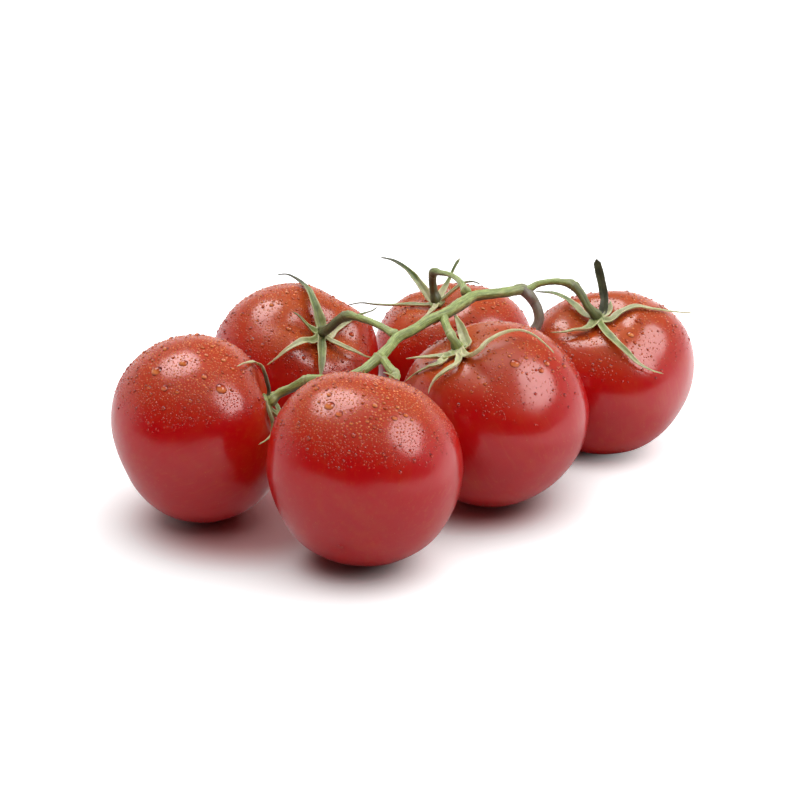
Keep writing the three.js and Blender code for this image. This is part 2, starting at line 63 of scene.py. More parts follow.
# Midlines with radii, x, y, z, r.
MAIN_STEM = [(41.33, 27.61, 35.04, 2.1), (45.84, 25.14, 43.12, 1.95), (50.04, 27.5, 50, 1.8), (49.51, 28.5, 53.46, 1.8), (48.29, 29.64, 56, 1.85), (46.16, 28.42, 59.2, 2), (44.24, 29.87, 60.6, 2.15), (39.37, 26.41, 61.1, 1.85), (33.83, 22.68, 61.7, 1.8), (26.55, 18.32, 62.3, 1.95), (21.34, 9.45, 62.4, 2.2), (15.55, 0.36, 62.1, 1.9), (9.97, -4.07, 61.3, 1.8), (4.43, -10.82, 60.1, 1.75), (-1.02, -15.17, 58.8, 1.85), (-4.03, -22.33, 57.5, 1.7), (-6.68, -27.01, 56.4, 1.9)]
STALKS = [
    [(-7.34, -27.37, 56, 1.5), (-9.99, -29.77, 54.6, 1.6), (-12.62, -32.21, 53.4, 1.6), (-18.28, -32.56, 51.4, 1.5), (-25.07, -29.28, 49.4, 1.5), (-31.3, -25.14, 47.2, 1.85), (-36.79, -24.34, 44.2, 1.5), (-40.88, -24.33, 42.2, 1.6), (-43.93, -25.57, 39.89, 1.9)],
    [(-6.35, -26.37, 55.8, 1.3), (-5.06, -29.48, 55.7, 1.3), (-2.97, -35.94, 55.2, 1.45), (-1.65, -38.18, 54.3, 1.8), (-4.23, -44.27, 49.62, 1.5), (-4.73, -45.81, 48.44, 1.9)],
    [(-2.04, -11.78, 59, 1.25), (-6.32, -5.68, 59.4, 1.2), (-10.77, 0.77, 59.2, 1.2), (-15.36, 6.3, 58.7, 1.3), (-18.62, 10.85, 57.6, 1.85), (-21.67, 13.32, 55, 1.6), (-24.6, 15.14, 51.6, 1.6), (-27.86, 24, 46.74, 1.9)],
    [(23.42, 20.5, 63.23, 1.3), (22.03, 28, 63.69, 1.1), (20.33, 38, 62.42, 0.95), (17.99, 46, 61.14, 0.95), (15.01, 54.5, 58.98, 1.05), (12.65, 60, 57.27, 1.65), (12.18, 62.3, 53.9, 1.5), (12.67, 63, 49.3, 1.55), (13.62, 62.34, 45.29, 1.9)],
    [(14.87, 0.55, 61.3, 1.5), (15.77, -6.18, 60.6, 1.4), (17.29, -14.68, 59.7, 1.55), (18.33, -16.88, 58.61, 1.35), (19.4, -16.76, 56.46, 1.9)],
    [(44.96, 29.67, 60.1, 1.4), (47.11, 30.04, 61.3, 1.2), (49.29, 30.82, 62.4, 1.15), (53.35, 30.67, 63.4, 1.15), (57.83, 30.07, 63.6, 1.25), (61.94, 28.67, 62.9, 1.8), (64.83, 26.61, 60.2, 1.55), (67.03, 25.55, 56.4, 1.5), (70.92, 26.4, 51.85, 1.9)],
]
# Calyxes: middle of the star, its axis, and for each sepal its width, the half width of its tip, the share along
# where it starts to narrow, its tone at root and tip (pale above 0, dark below, the dark being painted shade), and its
# midrib.
CALYXES = [
    dict(hub=(-45.05, -25.68, 39.48), axis=(0.9344, 0.0952, 0.3433), sepals=[
        (2, 0.3, 0.7, (-1.3, 1.3), [(-45.24, -25.7, 39.41), (-44.26, -25, 43.38), (-45.05, -24, 46.61), (-45.82, -22.5, 49.1), (-46.72, -21.5, 50.85), (-48.24, -21.5, 52), (-49.5, -32.94, 56.91), (-51.7, -36.48, 57.74), (-53.78, -39.38, 57.65)]),
        (2.8, 0.3, 0.45, (-0.4, -0.3), [(-45.24, -25.7, 39.41), (-43.14, -19.9, 36.57), (-41.49, -22.36, 35.37), (-40.64, -25.85, 34.24), (-40.33, -39.17, 36.87)]),
        (2.3, 0.3, 0.45, (-0.5, -0.2), [(-45.24, -25.7, 39.41), (-43.06, -41.41, 42.11), (-42.1, -42.41, 38.23), (-42.34, -44.86, 36.04), (-43.8, -48.18, 35.38), (-46.22, -51.83, 35.14)]),
        (3.2, 0.3, 0.45, (0, 0), [(-45.24, -25.7, 39.41), (-43.64, -25.54, 36.26), (-41.08, -25.26, 33.76), (-38.97, -24.93, 31.1), (-37.83, -24.46, 27.32), (-37.72, -23.78, 23.44), (-38.44, -22.85, 19.8)]),
        (3.2, 0.3, 0.45, (0, 0), [(-45.24, -25.7, 39.41), (-44.98, -22.19, 39.08), (-44.09, -19.65, 39.08), (-43.19, -17.38, 38.83), (-42.77, -14.56, 38.26), (-43.04, -11.81, 37.14), (-43.69, -9.42, 35.51)]),
    ]),
    dict(hub=(-5.03, -46.74, 47.74), axis=(0.25, 0.7694, 0.5878), sepals=[
        (3.4, 0.3, 0.45, (0, 0), [(-5.08, -46.89, 47.62), (-5.05, -44.38, 45.1), (-4.78, -40.28, 42.86), (-5.06, -36.18, 39.36), (-6.55, -33.68, 34.66), (-9.17, -32.5, 30.09), (-12.89, -32.34, 26.04)]),
        (3.4, 0.3, 0.45, (0, 0), [(-5.08, -46.89, 47.62), (-8.18, -45.15, 47.41), (-11.64, -41.96, 48.03), (-16.32, -38.92, 47.59), (-21.45, -37.61, 45.18), (-25.94, -37.39, 41.62), (-29.61, -37.88, 37.11)]),
        (3.4, 0.3, 0.45, (0, 0), [(-5.08, -46.89, 47.62), (-7.53, -47.37, 50.16), (-9.08, -47.14, 52.62), (-10.19, -47.13, 55.07), (-11.33, -48.25, 57.98), (-11.8, -50.68, 60.59), (-10.99, -53.95, 62.6)]),
        (3.4, 0.3, 0.45, (0, 0), [(-5.08, -46.89, 47.62), (-3.74, -48.81, 50.3), (-2.63, -49.67, 52.82), (-2, -50.48, 55.31), (-1.97, -52.09, 58.11), (-3.1, -54.28, 60.58), (-5.6, -56.44, 62.61)]),
        (3.4, 0.3, 0.45, (0, 0), [(-5.08, -46.89, 47.62), (-1.61, -46.75, 46.84), (3.02, -45.55, 46.59), (7.68, -44.86, 45.35), (12.02, -45.65, 42.34), (15.09, -46.88, 38.33), (16.88, -48.19, 33.56)]),
    ]),
    dict(hub=(-28.42, 24.57, 45.84), axis=(0.4634, -0.4742, 0.7486), sepals=[
        (4.3, 0.3, 0.3, (0.25, -1), [(-28.51, 24.67, 45.69), (-28.91, 26.64, 48.39), (-29.58, 27.29, 51.07), (-30.99, 29.36, 55.68), (-32.83, 33.28, 58.86), (-35.95, 43.08, 58.8), (-39, 46, 60.13), (-41.6, 46.3, 61.19), (-45.35, 46.3, 60.96)]),
        (2.6, 0.5, 0.45, (0.1, -0.5), [(-28.51, 24.67, 45.69), (-31.73, 22.39, 48.02), (-33.95, 20.45, 51.54), (-36.2, 20.15, 54.45), (-38.38, 20.24, 55.92)]),
        (2.8, 0.3, 0.45, (0.2, 1), [(-28.51, 24.67, 45.69), (-31.38, 17.21, 45.73), (-35.01, 11.57, 47.52), (-39.48, 8.55, 46.01), (-44.04, 6.96, 42.69), (-47.25, 6.59, 40.34)]),
        (3.1, 0.3, 0.7, (0.1, 0.3), [(-28.51, 24.67, 45.69), (-28.19, 16.94, 43.55), (-27.94, 11.12, 41.19), (-28.02, 8.16, 37.77), (-28.19, 6.33, 33.93)]),
        (2.2, 0.3, 0.45, (0.5, 0.5), [(-28.51, 24.67, 45.69), (-24.8, 22.6, 43.74), (-20.58, 20.11, 42.68), (-15.92, 19.64, 40.78), (-12.24, 21.51, 38.31), (-8.7, 26.12, 35.87)]),
        (1.9, 0.3, 0.45, (0.9, -0.5), [(-28.51, 24.67, 45.69), (-24.87, 25.06, 44.37), (-23.66, 27.09, 45.74), (-21.34, 28.92, 47), (-18.68, 31.38, 48.03), (-16.03, 35, 48.78), (-12.4, 36.2, 49.75), (-9.67, 37, 50.55), (-8.03, 37.6, 51.96)]),
    ]),
    dict(hub=(13.92, 62.43, 44.13), axis=(-0.2503, -0.0769, 0.9651), sepals=[
        (3.2, 0.45, 0.45, (0.7, -0.8), [(13.97, 62.45, 43.94), (10.99, 65.2, 44.95), (9.67, 66.4, 46.94), (6.68, 68.5, 50.82), (2.66, 70.2, 55.05), (-2.2, 71.6, 58.05), (-5.31, 72.1, 58.93), (-7.78, 72.3, 59.18)]),
        (1.9, 0.3, 0.45, (0.3, -0.7), [(13.97, 62.45, 43.94), (9.82, 61.8, 43.73), (3.78, 62.3, 43.79), (-3.03, 63, 43.31), (-9.47, 63.8, 43.35), (-14.78, 64.4, 43.78), (-20.11, 65, 42.61)]),
        (3.7, 1, 0.2, (0.9, -0.35), [(13.97, 62.45, 43.94), (15.16, 65.5, 45.24), (16.91, 68.3, 47.89), (18.83, 70.8, 51.05), (20.75, 73, 54.92), (22.87, 75, 58.07)]),
        (2.2, 0.3, 0.45, (0.9, 0.9), [(13.97, 62.45, 43.94), (12.67, 51.59, 45.72), (10.57, 47.52, 45.19), (7.78, 46.23, 43.49), (4.45, 45.16, 41.12)]),
        (1.9, 0.3, 0.45, (0.5, -0.7), [(13.97, 62.45, 43.94), (17.34, 61.6, 46.99), (21.05, 60.8, 50.64), (23.82, 60, 53.01), (25.86, 59.5, 53.81), (28.09, 59, 53.9), (30.7, 58.5, 52.81)]),
    ]),
    dict(hub=(19.93, -16.7, 55.39), axis=(-0.4425, -0.0484, 0.8955), sepals=[
        (3.8, 0.3, 0.45, (0.2, 0.5), [(20.02, -16.7, 55.21), (17.5, -22.14, 54.73), (13.66, -19.4, 53.34), (8.79, -19, 53.29), (4.73, -19.8, 53.45), (1.55, -20.5, 53.35)]),
        (3.1, 0.3, 0.45, (0.6, 0.3), [(20.02, -16.7, 55.21), (17.01, -17.85, 53.92), (13.4, -26.1, 53.55), (9.55, -24.27, 51.77), (4.73, -22, 48.29), (1.69, -22.8, 45.99)]),
        (2.5, 0.3, 0.45, (0.8, 0.8), [(20.02, -16.7, 55.21), (18.88, -33.05, 56.03), (14.9, -34.26, 54.02), (11.34, -34.54, 50.93), (9.78, -35.53, 48.64), (9.21, -36.63, 46.94)]),
        (2.8, 0.3, 0.45, (0.6, 0.8), [(20.02, -16.7, 55.21), (23.23, -30.9, 58.23), (26.17, -31.35, 60.24), (29.85, -29.21, 63.19), (34.71, -27.41, 65.22), (40.05, -23.95, 64.88), (44.53, -22.57, 62.77), (48.53, -23.94, 60.07), (51.93, -25.88, 57.04)]),
        (3.6, 0.3, 0.6, (0.4, 0.6), [(20.02, -16.7, 55.21), (22.94, -19.42, 57.13), (22.32, -11.94, 57.61), (20.8, -4.5, 59.45), (19.4, 1.5, 60.41), (18.64, 6, 60.84)]),
    ]),
    dict(hub=(71.13, 26.69, 50.71), axis=(-0.1747, -0.2442, 0.9539), sepals=[
        (3, 1.25, 1.3, (-1, -1), [(71.16, 26.74, 50.52), (73.3, 29.5, 51.96), (74.1, 31.5, 55.09), (73.77, 34, 58.43), (72.6, 36.5, 64.07), (71.04, 38, 69.66)]),
        (3, 0.3, 0.45, (0.4, 0.7), [(71.16, 26.74, 50.52), (75.27, 23.46, 51.06), (78.22, 24.96, 52.96), (81.86, 26.19, 54.66), (85.5, 26.92, 55.35), (90.01, 26.76, 54.69), (96.98, 31.27, 52.26), (101.46, 32, 51.5), (106.22, 32.5, 51.13)]),
        (2.7, 0.3, 0.45, (0.1, 0.6), [(71.16, 26.74, 50.52), (73.02, 14.49, 50.06), (76.39, 8.46, 48.15), (79.85, 5.58, 45.62), (83.54, 4.02, 42.46), (88.19, 4.47, 39.65), (93.1, 6.32, 37.42)]),
        (3.7, 0.3, 0.45, (0.3, 0.6), [(71.16, 26.74, 50.52), (66.57, 17.71, 49.91), (62.59, 16.93, 50.08), (58.62, 17.26, 49.21), (53.52, 19.74, 48.15)]),
        (2.7, 0.3, 0.45, (0.5, -0.6), [(71.16, 26.74, 50.52), (67.11, 28.5, 51.17), (63.43, 33, 53.34), (60.06, 37, 55.06), (56.11, 40.5, 55.74), (51.38, 43.5, 55.33), (49.24, 44.5, 55.14)]),
        (2.4, 0.9, 0.8, (0.9, 0.7), [(71.16, 26.74, 50.52), (74.81, 28.3, 52.01), (75.95, 30.77, 53.81), (76.19, 32.5, 55.69)]),
    ]),
]
MIDDLE = (5.3300, -2.3493)  # of the outline, where the frame has its origin

ROUNDNESS = 2.15  # power of the fruit's rounded profile
SCAR_DEPTH = 1.2
HUB_HEIGHT = 1.5
SEPAL_THICKNESS = 0.9

# ---------------------------------------------------------------- camera

eye = bpy.data.cameras.new("camera")
eye.sensor_width, eye.lens = 36.0, 89.6175
eye.clip_start, eye.clip_end = 0.01, 50.0
camera = bpy.data.objects.new("camera", eye)
camera.location = (-0.00533, -0.64668, 0.29223)
camera.rotation_euler = (math.radians(68.0), 0.0, 0.0)
bpy.context.collection.objects.link(camera)
bpy.context.scene.camera = camera


def seen_at(points):
    """Where points in millimetres fall in the 800 x 800 picture."""
    c, s = math.cos(math.radians(22)), math.sin(math.radians(22))
    d = np.asarray(points, float) - (0.0, -649.03, 292.23)
    deep = d[..., 1] * c - d[..., 2] * s
    return 400 + 1991.5 * d[..., 0] / deep, 400 - 1991.5 * (d[..., 1] * s + d[..., 2] * c) / deep


# ---------------------------------------------------------------- mesh helpers

def mesh_of(name, points, quads=(), tris=(), smooth=True, **values):
    """A mesh from millimetres on the surface's axes, with one attribute for each of values."""
    points = np.asarray(points, float)
    quads = np.asarray(quads, np.int32).reshape(-1, 4)
    tris = np.asarray(tris, np.int32).reshape(-1, 3)
    at = (points - (MIDDLE[0], MIDDLE[1], 0.0)) * 0.001
    me = bpy.data.meshes.new(name)
    me.vertices.add(len(at))
    me.vertices.foreach_set("co", at.astype(np.float32).ravel())
    corners = np.concatenate([quads.ravel(), tris.ravel()]).astype(np.int32)
    starts = np.concatenate([np.arange(len(quads)) * 4, len(quads) * 4 + np.arange(len(tris)) * 3])
    me.loops.add(len(corners))
    me.loops.foreach_set("vertex_index", corners)
    me.polygons.add(len(starts))
    me.polygons.foreach_set("loop_start", starts.astype(np.int32))
    me.polygons.foreach_set("use_smooth", np.full(len(starts), smooth))
    me.update(calc_edges=True)
    for key, value in values.items():
        value = np.asarray(value, np.float32)
        if value.ndim == 1:
            me.attributes.new(key, "FLOAT", "POINT").data.foreach_set("value", value)
        else:
            me.attributes.new(key, "FLOAT_VECTOR", "POINT").data.foreach_set("vector", value.ravel())
    return me


def piece_of(me, material, replaces=()):
    """Adds a mesh as a piece of the truss."""
    ob = bpy.data.objects.new(me.name, me)
    bpy.context.collection.objects.link(ob)
    me.materials.append(material)
    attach(ob, "root")
    if replaces:
        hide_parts(*replaces)
    return ob


def waves_in(seed, count, finest, coarsest):
    """A smooth uneven field over space, about -1 to 1: finest and coarsest are wavelengths in millimetres."""
    r = np.random.RandomState(seed)
    way = r.normal(size=(count, 3))
    way /= np.linalg.norm(way, axis=1)[:, None]
    size = coarsest * (finest / coarsest) ** r.rand(count)
    turn = r.rand(count) * 2 * math.pi
    share = size ** 0.5
    share /= np.sqrt((share ** 2).sum() / 2) * 1.6

    def field(p):
        p = np.asarray(p, float)
        total = np.zeros(p.shape[:-1])
        for w, l, t, a in zip(way, size, turn, share):
            total += a * np.sin(p @ w * (2 * math.pi / l) + t)
        return total

    return field


def normals_of(points, quads, tris=()):
    n = np.zeros_like(points)
    for f in (np.asarray(quads, int).reshape(-1, 4), np.asarray(tris, int).reshape(-1, 3)):
        if len(f):
            a, b, c = points[f[:, 0]], points[f[:, 1]], points[f[:, 2]]
            d = points[f[:, 3]] if f.shape[1] == 4 else c
            out = np.cross(c - a, d - b) if f.shape[1] == 4 else np.cross(b - a, c - a)
            for k in range(f.shape[1]):
                np.add.at(n, f[:, k], out)
    return n / np.maximum(np.linalg.norm(n, axis=1), 1e-12)[:, None]


def smoothstep(lo, hi, x):
    x = np.clip((x - lo) / (hi - lo), 0, 1)
    return x * x * (3 - 2 * x)


def unit(v):
    v = np.asarray(v, float)
    return v / np.linalg.norm(v, axis=-1, keepdims=True)


# ---------------------------------------------------------------- materials

class Nodes:
    """Short ways to add nodes to one material."""

    def __init__(self, name):
        self.material = bpy.data.materials.new(name)
        self.material.use_nodes = True
        self.tree = self.material.node_tree
        self.tree.nodes.clear()
        self.shader = self.add("ShaderNodeBsdfPrincipled")
        out = self.add("ShaderNodeOutputMaterial")
        self.tree.links.new(self.shader.outputs[0], out.inputs[0])

    def add(self, kind, **fields):
        node = self.tree.nodes.new(kind)
        for key, value in fields.items():
            setattr(node, key, value)
        return node

    def give(self, socket, value):
        if isinstance(value, bpy.types.NodeSocket):
            self.tree.links.new(value, socket)
        elif isinstance(value, (tuple, list)) and len(value) == 3 and socket.type == "RGBA":
            socket.default_value = (*value, 1.0)
        else:
            socket.default_value = value

    def set(self, **sockets):
        for key, value in sockets.items():
            self.give(self.shader.inputs[key.replace("_", " ")], value)

    def value(self, name, part="Fac"):
        return self.add("ShaderNodeAttribute", attribute_name=name).outputs[part]

    def place(self, scale=1.0):
        """Object coordinates in millimetres, times scale."""
        where = self.add("ShaderNodeTexCoord").outputs["Object"]
        return self.vector("MULTIPLY", where, (1000 * scale,) * 3)

    def vector(self, operation, a, b):
        node = self.add("ShaderNodeVectorMath", operation=operation)
        self.give(node.inputs[0], a)
        self.give(node.inputs[1], b)
        return node.outputs[0]

    def math(self, operation, a, b=0.0, c=0.0, clamp=False):
        node = self.add("ShaderNodeMath", operation=operation, use_clamp=clamp)
        for socket, value in zip(node.inputs, (a, b, c)):
            self.give(socket, value)
        return node.outputs[0]

    def noise(self, vector, scale, detail=2.0, rough=0.5, distort=0.0):
        node = self.add("ShaderNodeTexNoise")
        self.give(node.inputs["Vector"], vector)
        node.inputs["Scale"].default_value = scale
        node.inputs["Detail"].default_value = detail
        node.inputs["Roughness"].default_value = rough
        node.inputs["Distortion"].default_value = distort
        return node.outputs["Fac"]

    def cells(self, vector, scale, feature="F1", random=1.0):
        node = self.add("ShaderNodeTexVoronoi", feature=feature)
        self.give(node.inputs["Vector"], vector)
        node.inputs["Scale"].default_value = scale
        node.inputs["Randomness"].default_value = random
        return node.outputs["Distance"]

    def between(self, x, lo, hi, out_lo=0.0, out_hi=1.0):
        node = self.add("ShaderNodeMapRange", interpolation_type="SMOOTHSTEP")
        for socket, value in zip(node.inputs, (x, lo, hi, out_lo, out_hi)):
            self.give(socket, value)
        return node.outputs[0]

    def mix(self, share, a, b, kind="MIX"):
        node = self.add("ShaderNodeMix", data_type="RGBA", blend_type=kind)
        colours = [s for s in node.inputs if s.type == "RGBA"]
        self.give(node.inputs[0], share)
        self.give(colours[0], a)
        self.give(colours[1], b)
        return [s for s in node.outputs if s.type == "RGBA"][0]

    def bump(self, height, distance, strength=1.0, normal=None):
        """distance is in millimetres."""
        node = self.add("ShaderNodeBump")
        self.give(node.inputs["Height"], height)
        node.inputs["Distance"].default_value = distance * 0.001
        node.inputs["Strength"].default_value = strength
        if normal is not None:
            self.give(node.inputs["Normal"], normal)
        return node.outputs[0]


def skin_material():
    """Ripe skin: deep red, more orange round the stem end, with faint streaks and pale flecks; painted light makes the
    skin that faces up more orange and painted shade makes the skin that faces down a deeper red.
    """
    n = Nodes("ripe_tomato_skin")
    mm = n.place()
    around = n.value("skin", "Vector")  # polar share, then cosine and sine around the axis
    lit = n.value("upper")
    shoulder = n.value("shoulder")
    scar = n.value("scar")
    blotch = n.noise(mm, 0.045, 3.0, 0.55)
    mottle = n.noise(mm, 0.28, 4.0, 0.6)
    streak = n.noise(n.vector("MULTIPLY", around, (5.0, 26.0, 26.0)), 1.0, 3.0, 0.6, 0.3)
    warm = n.math("MULTIPLY_ADD", blotch, 0.7, -0.35)
    warm = n.math("ADD", warm, n.math("MULTIPLY_ADD", mottle, 0.3, -0.15))
    # painted light: skin that faces up is more orange
    warm = n.math("ADD", warm, n.math("MULTIPLY", lit, 0.62))
    warm = n.math("ADD", warm, n.math("MULTIPLY", shoulder, 0.65), clamp=True)
    # painted shade: skin that faces down is a deeper red
    colour = n.mix(n.value("under"), (0.53, 0.001, 0.003), (0.45, 0.001, 0.003))
    colour = n.mix(warm, colour, (0.56, 0.080, 0.009))
    streaks = n.math("MULTIPLY", n.between(streak, 0.5, 0.78), n.math("MULTIPLY_ADD", shoulder, 0.45, 0.10))
    colour = n.mix(streaks, colour, (0.62, 0.13, 0.02))
    fleck = n.between(n.cells(mm, 0.62), 0.0, 0.16, 1.0, 0.0)
    fleck = n.math("MULTIPLY", fleck, n.between(mottle, 0.42, 0.62, 0.0, 0.30))
    colour = n.mix(fleck, colour, (0.66, 0.20, 0.05))
    colour = n.mix(n.math("MULTIPLY", scar, 0.12), colour, (0.20, 0.06, 0.02))
    pores = n.noise(mm, 3.2, 3.0, 0.6)
    soft = n.noise(mm, 0.35, 2.0)
    rough = n.math("MULTIPLY_ADD", blotch, 0.07, 0.175)
    rough = n.math("ADD", rough, n.math("MULTIPLY", scar, 0.2))
    rough = n.math("MULTIPLY_ADD", n.value("dull"), 0.42, rough)
    normal = n.bump(soft, 0.10, 0.35)
    normal = n.bump(pores, 0.010, 0.55, normal)
    normal = n.bump(scar, 0.06, 0.6, normal)
    n.set(Base_Color=colour, Roughness=rough, Normal=normal, IOR=1.45)
    n.set(Subsurface_Weight=0.22, Subsurface_Radius=(1.0, 0.12, 0.05), Subsurface_Scale=0.0030)
    n.set(Coat_Weight=0.14, Coat_Roughness=0.30, Coat_IOR=1.4)
    return n.material


def water_material():
    """Water beads: each shows the skin's colour, with a painted bright spot of gathered light on its lower side and
    painted shade at its upper rim.
    """
    n = Nodes("water_on_skin")
    mm = n.place()
    glow = n.value("glow")
    dark = n.value("dark")
    ripple = n.noise(mm, 1.3, 2.0)
    blotch = n.noise(mm, 0.25, 2.0)
    # painted light: drops on skin that faces up are warmer, as that skin is
    warm = n.math("MULTIPLY_ADD", blotch, 0.6, n.math("MULTIPLY_ADD", n.value("upper"), 0.75, -0.3), clamp=True)
    tone = n.mix(warm, (0.46, 0.003, 0.003), (0.52, 0.075, 0.012))
    tone = n.mix(dark, tone, (0.12, 0.003, 0.002))
    tone = n.mix(glow, tone, n.mix(warm, (0.86, 0.08, 0.05), (1.0, 0.40, 0.11)))
    normal = n.bump(ripple, 0.02, 0.4)
    n.set(Base_Color=tone, Normal=normal, IOR=1.36)
    n.set(Roughness=n.math("MULTIPLY_ADD", ripple, 0.05, 0.04))
    n.set(Coat_Weight=0.5, Coat_Roughness=0.03, Coat_IOR=1.33)
    return n.material


def stem_material():
    """Green stem with lengthways fibres, purple-brown where it has aged, paler where pieces join, with painted shade on
    its underside and towards the fruit end of some stalks.
    """
    n = Nodes("tomato_stem")
    mm = n.place()
    along = n.value("grain", "Vector")  # length along in mm, then cosine and sine around, times the radius
    aged = n.value("aged")
    pale = n.value("pale")
    pith = n.value("pith")
    under = n.value("under")
    fibre = n.noise(n.vector("MULTIPLY", along, (0.22, 2.6, 2.6)), 1.0, 4.0, 0.65, 0.2)
    blotch = n.noise(mm, 0.22, 4.0, 0.6)
    grain = n.noise(mm, 2.4, 4.0, 0.65)
    colour = n.mix(n.between(fibre, 0.3, 0.72), (0.16, 0.235, 0.040), (0.58, 0.69, 0.21))
    colour = n.mix(n.between(blotch, 0.48, 0.75, 0.0, 0.55), colour, (0.40, 0.39, 0.18))
    colour = n.mix(n.between(grain, 0.54, 0.78, 0.0, 0.6), colour, (0.085, 0.10, 0.028))
    colour = n.mix(n.math("MULTIPLY", pale, 0.7), colour, (0.50, 0.50, 0.25))
    # painted shade: near black towards the fruit end of some stalks
    dusky = n.mix(fibre, (0.030, 0.033, 0.012), (0.095, 0.092, 0.036))
    colour = n.mix(n.math("MULTIPLY", n.value("dusky"), n.between(blotch, 0.2, 0.6, 0.6, 0.9)), colour, dusky)
    # painted shade: the stem's underside is darker
    colour = n.mix(n.math("MULTIPLY", under, 0.85), colour, (0.055, 0.052, 0.019))
    brown = n.mix(fibre, (0.15, 0.12, 0.096), (0.36, 0.30, 0.24))
    colour = n.mix(n.math("MULTIPLY", aged, n.between(blotch, 0.2, 0.55, 0.72, 1.0)), colour, brown)
    colour = n.mix(pith, colour, (0.52, 0.50, 0.27))
    normal = n.bump(fibre, 0.16, 0.7)
    normal = n.bump(grain, 0.06, 0.7, normal)
    n.set(Base_Color=colour, Normal=normal, Roughness=n.math("MULTIPLY_ADD", grain, 0.2, 0.42))
    n.set(Subsurface_Weight=0.12, Subsurface_Radius=(0.5, 1.0, 0.2), Subsurface_Scale=0.0009)
    n.set(Sheen_Weight=0.22, Sheen_Roughness=0.45, Sheen_Tint=(0.86, 0.92, 0.66))
    return n.material


def leaf_material():
    """Sepals: painted shade along the groove on top, with a paler rim, underside and midrib, and fine veins; a tone for
    each sepal makes some pale straw and some near black, the near black being painted shade.
    """
    n = Nodes("tomato_sepal")
    mm = n.place()
    leaf = n.add("ShaderNodeAttribute", attribute_name="leaf").outputs["Vector"]
    tone = n.value("tone")
    parts = n.add("ShaderNodeSeparateXYZ")
    n.give(parts.inputs[0], leaf)
    across, along, side = parts.outputs
    away = n.math("ABSOLUTE", across)
    shade = n.value("shade")
    blotch = n.noise(mm, 0.3, 4.0, 0.6)
    grain = n.noise(mm, 2.2, 4.0, 0.65)
    herring = n.math("MULTIPLY_ADD", away, -3.0, n.math("MULTIPLY", along, 46.0))
    vein = n.math("SINE", n.math("ADD", herring, n.math("MULTIPLY", blotch, 3.0)))
    green = n.mix(n.between(blotch, 0.35, 0.7), (0.10, 0.17, 0.022), (0.29, 0.40, 0.078))
    green = n.mix(n.between(vein, 0.55, 1.0, 0.0, 0.35), green, (0.33, 0.38, 0.14))
    rim = n.between(away, 0.52, 0.90)
    green = n.mix(n.math("MULTIPLY", rim, 0.9), green, (0.70, 0.67, 0.34))
    # painted shade along the groove on top
    rib = n.between(away, 0.0, 0.16, 1.0, 0.0)
    green = n.mix(n.math("MULTIPLY", rib, 0.6), green, (0.055, 0.085, 0.018))
    under = n.mix(n.between(blotch, 0.3, 0.7), (0.35, 0.42, 0.15), (0.58, 0.61, 0.29))
    colour = n.mix(n.math("MULTIPLY", side, 0.85), green, under)
    root = n.between(along, 0.0, 0.16, 1.0, 0.0)
    colour = n.mix(n.math("MULTIPLY", root, 0.35), colour, (0.32, 0.42, 0.10))
    tip = n.between(along, 0.86, 1.0, 0.0, 0.45)
    colour = n.mix(tip, colour, (0.34, 0.29, 0.13))
    straw = n.mix(n.between(blotch, 0.35, 0.7), (0.58, 0.56, 0.27), (0.80, 0.73, 0.46))
    colour = n.mix(n.math("MULTIPLY", n.between(tone, -0.1, 0.8), 0.88), colour, straw)
    # painted shade: where the tone is below 0 the sepal turns near black
    dusk = n.mix(n.between(blotch, 0.35, 0.7), (0.040, 0.042, 0.020), (0.085, 0.085, 0.042))
    colour = n.mix(n.math("MULTIPLY", n.between(tone, 0.0, -1.0), 0.95), colour, dusk)
    colour = n.mix(shade, colour, (0.06, 0.09, 0.022))
    colour = n.mix(n.between(grain, 0.6, 0.85, 0.0, 0.35), colour, (0.12, 0.15, 0.03))
    normal = n.bump(vein, 0.05, 0.35)
    normal = n.bump(grain, 0.07, 0.7, normal)
    n.set(Base_Color=colour, Normal=normal, Roughness=n.math("MULTIPLY_ADD", grain, 0.2, 0.40))
    n.set(Subsurface_Weight=0.18, Subsurface_Radius=(0.5, 1.0, 0.2), Subsurface_Scale=0.0008)
    n.set(Sheen_Weight=0.22, Sheen_Roughness=0.45, Sheen_Tint=(0.86, 0.92, 0.66))
    return n.material


SKIN, WATER, STEM, LEAF = skin_material(), water_material(), stem_material(), leaf_material()

# ---------------------------------------------------------------- fruits


def fruit_axes(f):
    t, h, s = (math.radians(f[k]) for k in ("tilt", "heading", "spin"))
    a = np.array([math.sin(t) * math.cos(h), math.sin(t) * math.sin(h), math.cos(t)])
    u = np.array([math.cos(t) * math.cos(h), math.cos(t) * math.sin(h), -math.sin(t)])
    v = np.cross(a, u)
    return a, u * math.cos(s) + v * math.sin(s), v * math.cos(s) - u * math.sin(s)


def wave(items, p):
    return sum(share * np.cos(count * (p - math.radians(phase))) for count, share, phase in items)


